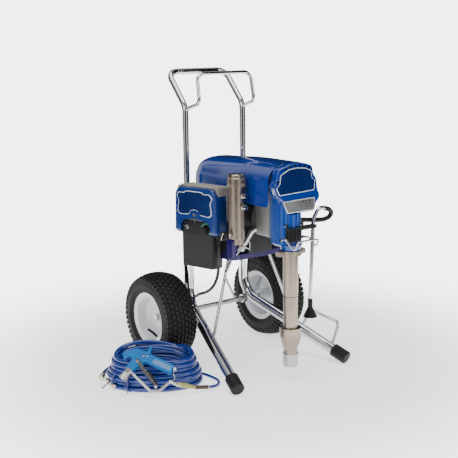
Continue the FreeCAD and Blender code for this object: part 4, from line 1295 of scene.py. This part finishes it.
hidden = [v for v in bm.verts if v.co.y > AXLE_Y + GUARD_FRONT]
bmesh.ops.delete(bm, geom=hidden, context="VERTS")
guard_ribs.data.clear_geometry()
bm.to_mesh(guard_ribs.data)
bm.free()
hand_over(guard_ribs, "frame", black_moulding)

# %% Bands on the pump
bm = bmesh.new()
for r, low, high in ((0.0262, 0.150, 0.1535), (0.0262, 0.300, 0.3015)):
    lathe(bm, [(r - 0.003, 0), (r, 0), (r, high - low), (r - 0.003, high - low)],
          (*PUMP, low))
hand_over(mesh_object("pump_joint_rings", bm), "frame", black_moulding)

# %% Wire clip on the drain knob, wires in the tray
wires = [
    wire("drain_knob_clip", [(-0.205, -0.330, 0.524), (-0.2075, -0.322, 0.500),
                             (-0.200, -0.308, 0.492)], 0.0016, 0.004),
    wire("tray_wire_front", [(-0.128, -0.300, 0.432), (-0.112, -0.318, 0.462),
                             (-0.090, -0.324, 0.452), (-0.068, -0.300, 0.436)], 0.0022, 0.010),
    wire("tray_wire_rear", [(-0.120, -0.285, 0.432), (-0.100, -0.306, 0.486),
                            (-0.078, -0.310, 0.474), (-0.058, -0.285, 0.440)], 0.0020, 0.012)]
hand_over(wires[0], "drain_valve_knob", steel)
for piece in wires[1:]:
    hand_over(piece, "frame", chrome)

# %% [markdown]
# ## Spray gun
# The gun lies on the front of the heap. Its handle has a paler insert and a steel cap at
# its end, the trigger is a bent steel strap with a black pad, and a steel fluid tube
# runs down to a swivel. Past the swivel come a brass nut, a tapered green sleeve and a
# brown spring guard that keeps the thin hose from kinking.

# %% Gun directions and small parts
GUN = Vector((-0.442, -0.263, 0.104))
gun_u = Vector((0.8035, -0.5952, 0.0)).normalized()
gun_v = Vector((0.366, 0.495, 0.788)).normalized()
gun_n = gun_u.cross(gun_v)


def gun_at(u, v, n=0.0):
    """A place on the gun, in millimetres along its handle, up its body and across."""
    return GUN + (gun_u * u + gun_v * v + gun_n * n) / 1000


def gun_plate(u, v, w):
    return gun_at(u, v, w * 1000)


bm = bmesh.new()
GRIP = [(-2, 9), (56, -19), (48, -34), (-14, -5)]
for low, high in ((0.0104, 0.0122), (-0.0122, -0.0104)):
    plate(bm, rounded_outline(GRIP, 4), low, high, gun_plate)
hand_over(soften(mesh_object("grip_inserts", bm), 0.0006, 2), "frame", grip_pale)

bm = bmesh.new()
for u, v, r in ((-61, 4, 0.0052), (-40, 22, 0.0042), (-26, 20, 0.0040)):
    lathe(bm, [(0, 0.0148), (r * 0.7, 0.0148), (r, 0.0136), (r, -0.0136), (r * 0.7, -0.0148),
               (0, -0.0148)], gun_at(u, v), gun_n, 20)
lathe(bm, [(0, 0), (0.0060, 0), (0.0068, 0.002), (0.0068, 0.008), (0.0050, 0.010), (0, 0.010)],
      gun_at(60, -24), gun_u, 6)
hand_over(mesh_object("gun_pins", bm), "frame", steel, sharp=25)

PAD = [(-25.5, -35.5), (3, -74), (7, -80), (10, -78), (-20, -31.5)]
bm = bmesh.new()
plate(bm, rounded_outline(PAD, 2), -0.0105, 0.0105, gun_plate)
pad = soften(mesh_object("trigger_pad", bm), 0.0012, 2)
hand_over(pad, "gun_trigger", soft_rubber)

# %% Swivel, nut, sleeve and spring guard
swivel = gun_at(52, -67, -2)
nut = Vector((-0.406, -0.331, 0.040))
sleeve_end = Vector((-0.345, -0.352, 0.019))
spring_end = Vector((-0.297, -0.360, 0.011))
bm = bmesh.new()
reach = (nut - swivel).length
lathe(bm, [(0, -0.010), (0.0052, -0.010), (0.0060, 0.0), (0.0060, 0.010), (0.0074, 0.012),
           (0.0074, reach - 0.004), (0.0066, reach), (0, reach)], swivel, nut - swivel, 24)
swivel_piece = part_of("swivel", bm, steel)
axis = sleeve_end - nut
bm = bmesh.new()
lathe(bm, [(0, -0.001), (0.0072, -0.001), (0.0085, 0.001), (0.0085, 0.013), (0.0070, 0.014),
           (0, 0.014)], nut, axis, 6)
nut_piece = part_of("hose_nut", bm, brass)
bm = bmesh.new()
reach = axis.length
lathe(bm, [(0, 0.013), (0.0086, 0.013), (0.0089, 0.015), (0.0086, 0.030), (0.0062, reach - 0.006),
           (0.0058, reach), (0, reach)], nut, axis, 28)
sleeve_piece = part_of("sleeve", bm, sleeve_green)

# %% Spring guard and wire link
coil_axis = spring_end - sleeve_end
side_a = coil_axis.normalized().orthogonal().normalized()
side_b = coil_axis.normalized().cross(side_a)
COILS, PER_COIL, COIL_RADIUS = 16, 14, 0.0058
path = []
for k in range(COILS * PER_COIL + 1):
    a = math.tau * k / PER_COIL
    path.append(sleeve_end + coil_axis * (k / (COILS * PER_COIL))
                + (side_a * math.cos(a) + side_b * math.sin(a)) * COIL_RADIUS)
bm = bmesh.new()
sweep(bm, path, [0.00135] * len(path), 6)
sweep(bm, [sleeve_end, spring_end], [0.0052, 0.0052], 16)
spring_piece = part_of("spring", bm, guard_brown)
bm = bmesh.new()
lathe(bm, [(0, 0), (0.0066, 0), (0.0068, 0.005), (0, 0.005)], spring_end - coil_axis * 0.10,
      coil_axis, 20)
tip_piece = part_of("ferrule", bm, brass)
hand_over(joined("whip_end_parts", [swivel_piece, nut_piece, sleeve_piece, spring_piece,
                                    tip_piece]), "frame", None, ("whip_guard",))
link_points = [gun_at(60, -30), gun_at(58, -44), gun_at(66, -52), gun_at(60, -62), gun_at(54, -66)]
hand_over(wire("gun_wire_link", link_points, 0.0014, 0.004), "frame", steel)

# %% [markdown]
# ## Finish the CAD parts that keep their shape
# Tubes, castings and turned parts already have their real shape, so they only need a
# finish. A list pairs each finish with the CAD nodes that have it.

# %% Finishes for CAD nodes
CAD_FINISHES = (
    (chrome, "right_frame_tube left_frame_tube frame_braces lift_loop handle_tube "
             "hose_rack pail_hook"),
    (turned_steel, "axle motor_rotor crank connecting_rod displacement_rod filter_element"),
    (steel, "cover_screws drain_tube manifold_fittings jumper_hose gun_trigger power_switch"),
    (nickel, "pump_lock_nut pump_cylinder intake_housing manifold_body filter_cap"),
    (turned_steel, "suction_strainer gun_nozzle gun_fluid_tube"),
    (soft_rubber, "foot_caps drain_deflector drain_hose"),
    (white_moulding, "tube_bushings"),
    (navy_paint, "motor_tray"),
    (tyre_rubber, "right_tyre left_tyre"),
    (white_enamel, "right_rim left_rim"),
    (blue_moulding, "motor_shroud front_cover name_plate badge_plate"),
    (blue_enamel, "drive_housing"),
    (black_enamel, "motor_housing"),
    (cast_aluminium, "gearbox_housing"),
    (black_moulding, "rod_guard drain_clip drain_valve_knob pressure_knob control_panel"),
    (charcoal_paint, "electronics_box"),
    (beige_paint, "control_housing"),
    (control_blue, "control_cover"),
    (gun_blue, "gun_body"),
    (sleeve_green, "whip_guard"),
)
for finish, names in CAD_FINISHES:
    for name in names.split():
        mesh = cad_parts[name].data
        mesh.materials.clear()
        mesh.materials.append(finish)
print("CAD nodes finished:", sum(len(names.split()) for finish, names in CAD_FINISHES))

# %% [markdown]
# ## Floor and light
# A pale floor and soft light from above suit plated metal and gloss paint. Chrome shows
# only what is around it, so the surroundings are bright with a few darker bands; they
# give the tubes their bright and dark stripes. The camera itself sees a plain pale sky.

# %% Floor
BACKDROP = 5.0
FLOOR_RADIUS = 1.55
bm = bmesh.new()
bmesh.ops.create_circle(bm, cap_ends=True, segments=96, radius=FLOOR_RADIUS)
floor_mesh = bpy.data.meshes.new("floor")
bm.to_mesh(floor_mesh)
bm.free()
floor = new_object("floor", floor_mesh)
floor.location = (0, 0, -0.0005)
pale = bpy.data.materials.new("pale_floor")
pale.use_nodes = True
pale_tree = pale.node_tree
pale_surface = pale_tree.nodes["Principled BSDF"]
pale_surface.label = "painted studio floor"
pale_surface.inputs["Roughness"].default_value = 0.6
pale_surface.inputs["Specular IOR Level"].default_value = 0.25
pale_surface.inputs["Emission Color"].default_value = (1, 1, 1, 1)
pale_surface.inputs["Emission Strength"].default_value = 1.15
pale_place = pale_tree.nodes.new("ShaderNodeTexCoord")
pale_place.location = (-800, 0)
pale_cloud = pale_tree.nodes.new("ShaderNodeTexNoise")
pale_cloud.label = "very faint unevenness"
pale_cloud.location = (-600, 0)
pale_cloud.inputs["Scale"].default_value = 0.8
pale_tone = pale_tree.nodes.new("ShaderNodeMix")
pale_tone.label = "floor tone"
pale_tone.location = (-300, 0)
pale_tone.data_type = "RGBA"
pale_tone.inputs["A"].default_value = (0.92, 0.92, 0.92, 1)
pale_tone.inputs["B"].default_value = (0.95, 0.95, 0.95, 1)
pale_far = pale_tree.nodes.new("ShaderNodeVectorMath")
pale_far.label = "distance from the machine"
pale_far.operation = "LENGTH"
pale_far.location = (-600, -320)
pale_fade = pale_tree.nodes.new("ShaderNodeMapRange")
pale_fade.label = "fade into the bright backdrop"
pale_fade.interpolation_type = "SMOOTHSTEP"
pale_fade.location = (-400, -320)
pale_fade.inputs["From Min"].default_value = 0.55
pale_fade.inputs["From Max"].default_value = 1.50
pale_glow = pale_tree.nodes.new("ShaderNodeEmission")
pale_glow.label = "bright backdrop"
pale_glow.location = (-100, -420)
pale_glow.inputs["Strength"].default_value = BACKDROP
pale_near = pale_tree.nodes.new("ShaderNodeMixShader")
pale_near.label = "floor, then backdrop"
pale_near.location = (350, 0)
pale_out = pale_tree.nodes["Material Output"]
pale_out.location = (550, 0)

# %% Links of the floor material
pale_tree.links.new(pale_place.outputs["Object"], pale_cloud.inputs["Vector"])
pale_tree.links.new(pale_cloud.outputs["Fac"], pale_tone.inputs["Factor"])
pale_tree.links.new(pale_tone.outputs["Result"], pale_surface.inputs["Base Color"])
pale_tree.links.new(pale_place.outputs["Object"], pale_far.inputs[0])
pale_tree.links.new(pale_far.outputs["Value"], pale_fade.inputs["Value"])
pale_tree.links.new(pale_fade.outputs["Result"], pale_near.inputs["Fac"])
pale_tree.links.new(pale_surface.outputs["BSDF"], pale_near.inputs[1])
pale_tree.links.new(pale_glow.outputs["Emission"], pale_near.inputs[2])
pale_tree.links.new(pale_near.outputs["Shader"], pale_out.inputs["Surface"])
floor_mesh.materials.append(pale)

# %% Surroundings
world = bpy.data.worlds.new("studio")
bpy.context.scene.world = world
world.use_nodes = True
sky = world.node_tree
sky.nodes.clear()
sky_out = sky.nodes.new("ShaderNodeOutputWorld")
sky_out.location = (700, 0)
sky_mix = sky.nodes.new("ShaderNodeMixShader")
sky_mix.label = "plain for the camera, banded for reflections"
sky_mix.location = (500, 0)
rays = sky.nodes.new("ShaderNodeLightPath")
rays.location = (200, 300)
plain = sky.nodes.new("ShaderNodeBackground")
plain.label = "plain pale backdrop"
plain.location = (200, -200)
plain.inputs["Color"].default_value = (1.0, 1.0, 1.0, 1)
plain.inputs["Strength"].default_value = BACKDROP
banded = sky.nodes.new("ShaderNodeBackground")
banded.label = "studio with dark bands"
banded.location = (200, 0)
banded.inputs["Strength"].default_value = 1.0
direction = sky.nodes.new("ShaderNodeTexCoord")
direction.location = (-700, 0)
gradient = sky.nodes.new("ShaderNodeTexGradient")
gradient.label = "round the horizon"
gradient.gradient_type = "RADIAL"
gradient.location = (-500, 0)
bands = sky.nodes.new("ShaderNodeValToRGB")
bands.label = "bright walls and dark gaps"
bands.location = (-250, 0)
bands.color_ramp.elements[0].color = (0.95, 0.95, 0.95, 1)
bands.color_ramp.elements[1].position = 1.0
bands.color_ramp.elements[1].color = (0.95, 0.95, 0.95, 1)
for spot, level in ((0.06, 0.9), (0.09, 0.02), (0.20, 0.02), (0.23, 1.0), (0.31, 1.0),
                    (0.34, 0.02), (0.47, 0.02), (0.50, 0.9), (0.57, 0.9), (0.60, 0.02),
                    (0.72, 0.02), (0.75, 1.0), (0.83, 0.9), (0.86, 0.05), (0.93, 0.05)):
    stop = bands.color_ramp.elements.new(spot)
    stop.color = (level, level, level, 1)
sky.links.new(direction.outputs["Generated"], gradient.inputs["Vector"])
sky.links.new(gradient.outputs["Fac"], bands.inputs["Fac"])
sky.links.new(bands.outputs["Color"], banded.inputs["Color"])
sky.links.new(rays.outputs["Is Camera Ray"], sky_mix.inputs["Fac"])
sky.links.new(banded.outputs["Background"], sky_mix.inputs[1])
sky.links.new(plain.outputs["Background"], sky_mix.inputs[2])
sky.links.new(sky_mix.outputs["Shader"], sky_out.inputs["Surface"])


# %% Lamps
def lamp(name, place, aim, size, power):
    data = bpy.data.lights.new(name, "AREA")
    data.shape = "DISK"
    data.size = size
    data.energy = power
    obj = new_object(name, data)
    obj.location = place
    obj.rotation_mode = "QUATERNION"
    obj.rotation_quaternion = (Vector(aim) - Vector(place)).to_track_quat("-Z", "Y")
    return obj


lamp("overhead_softbox", (-0.4, -0.2, 3.4), (0, 0, 0.3), 2.6, 62.0)
lamp("left_softbox", (-3.2, -1.6, 2.2), (0, 0, 0.5), 1.6, 34.0)
lamp("front_right_softbox", (1.6, -3.2, 2.0), (0, -0.1, 0.4), 1.2, 26.0)
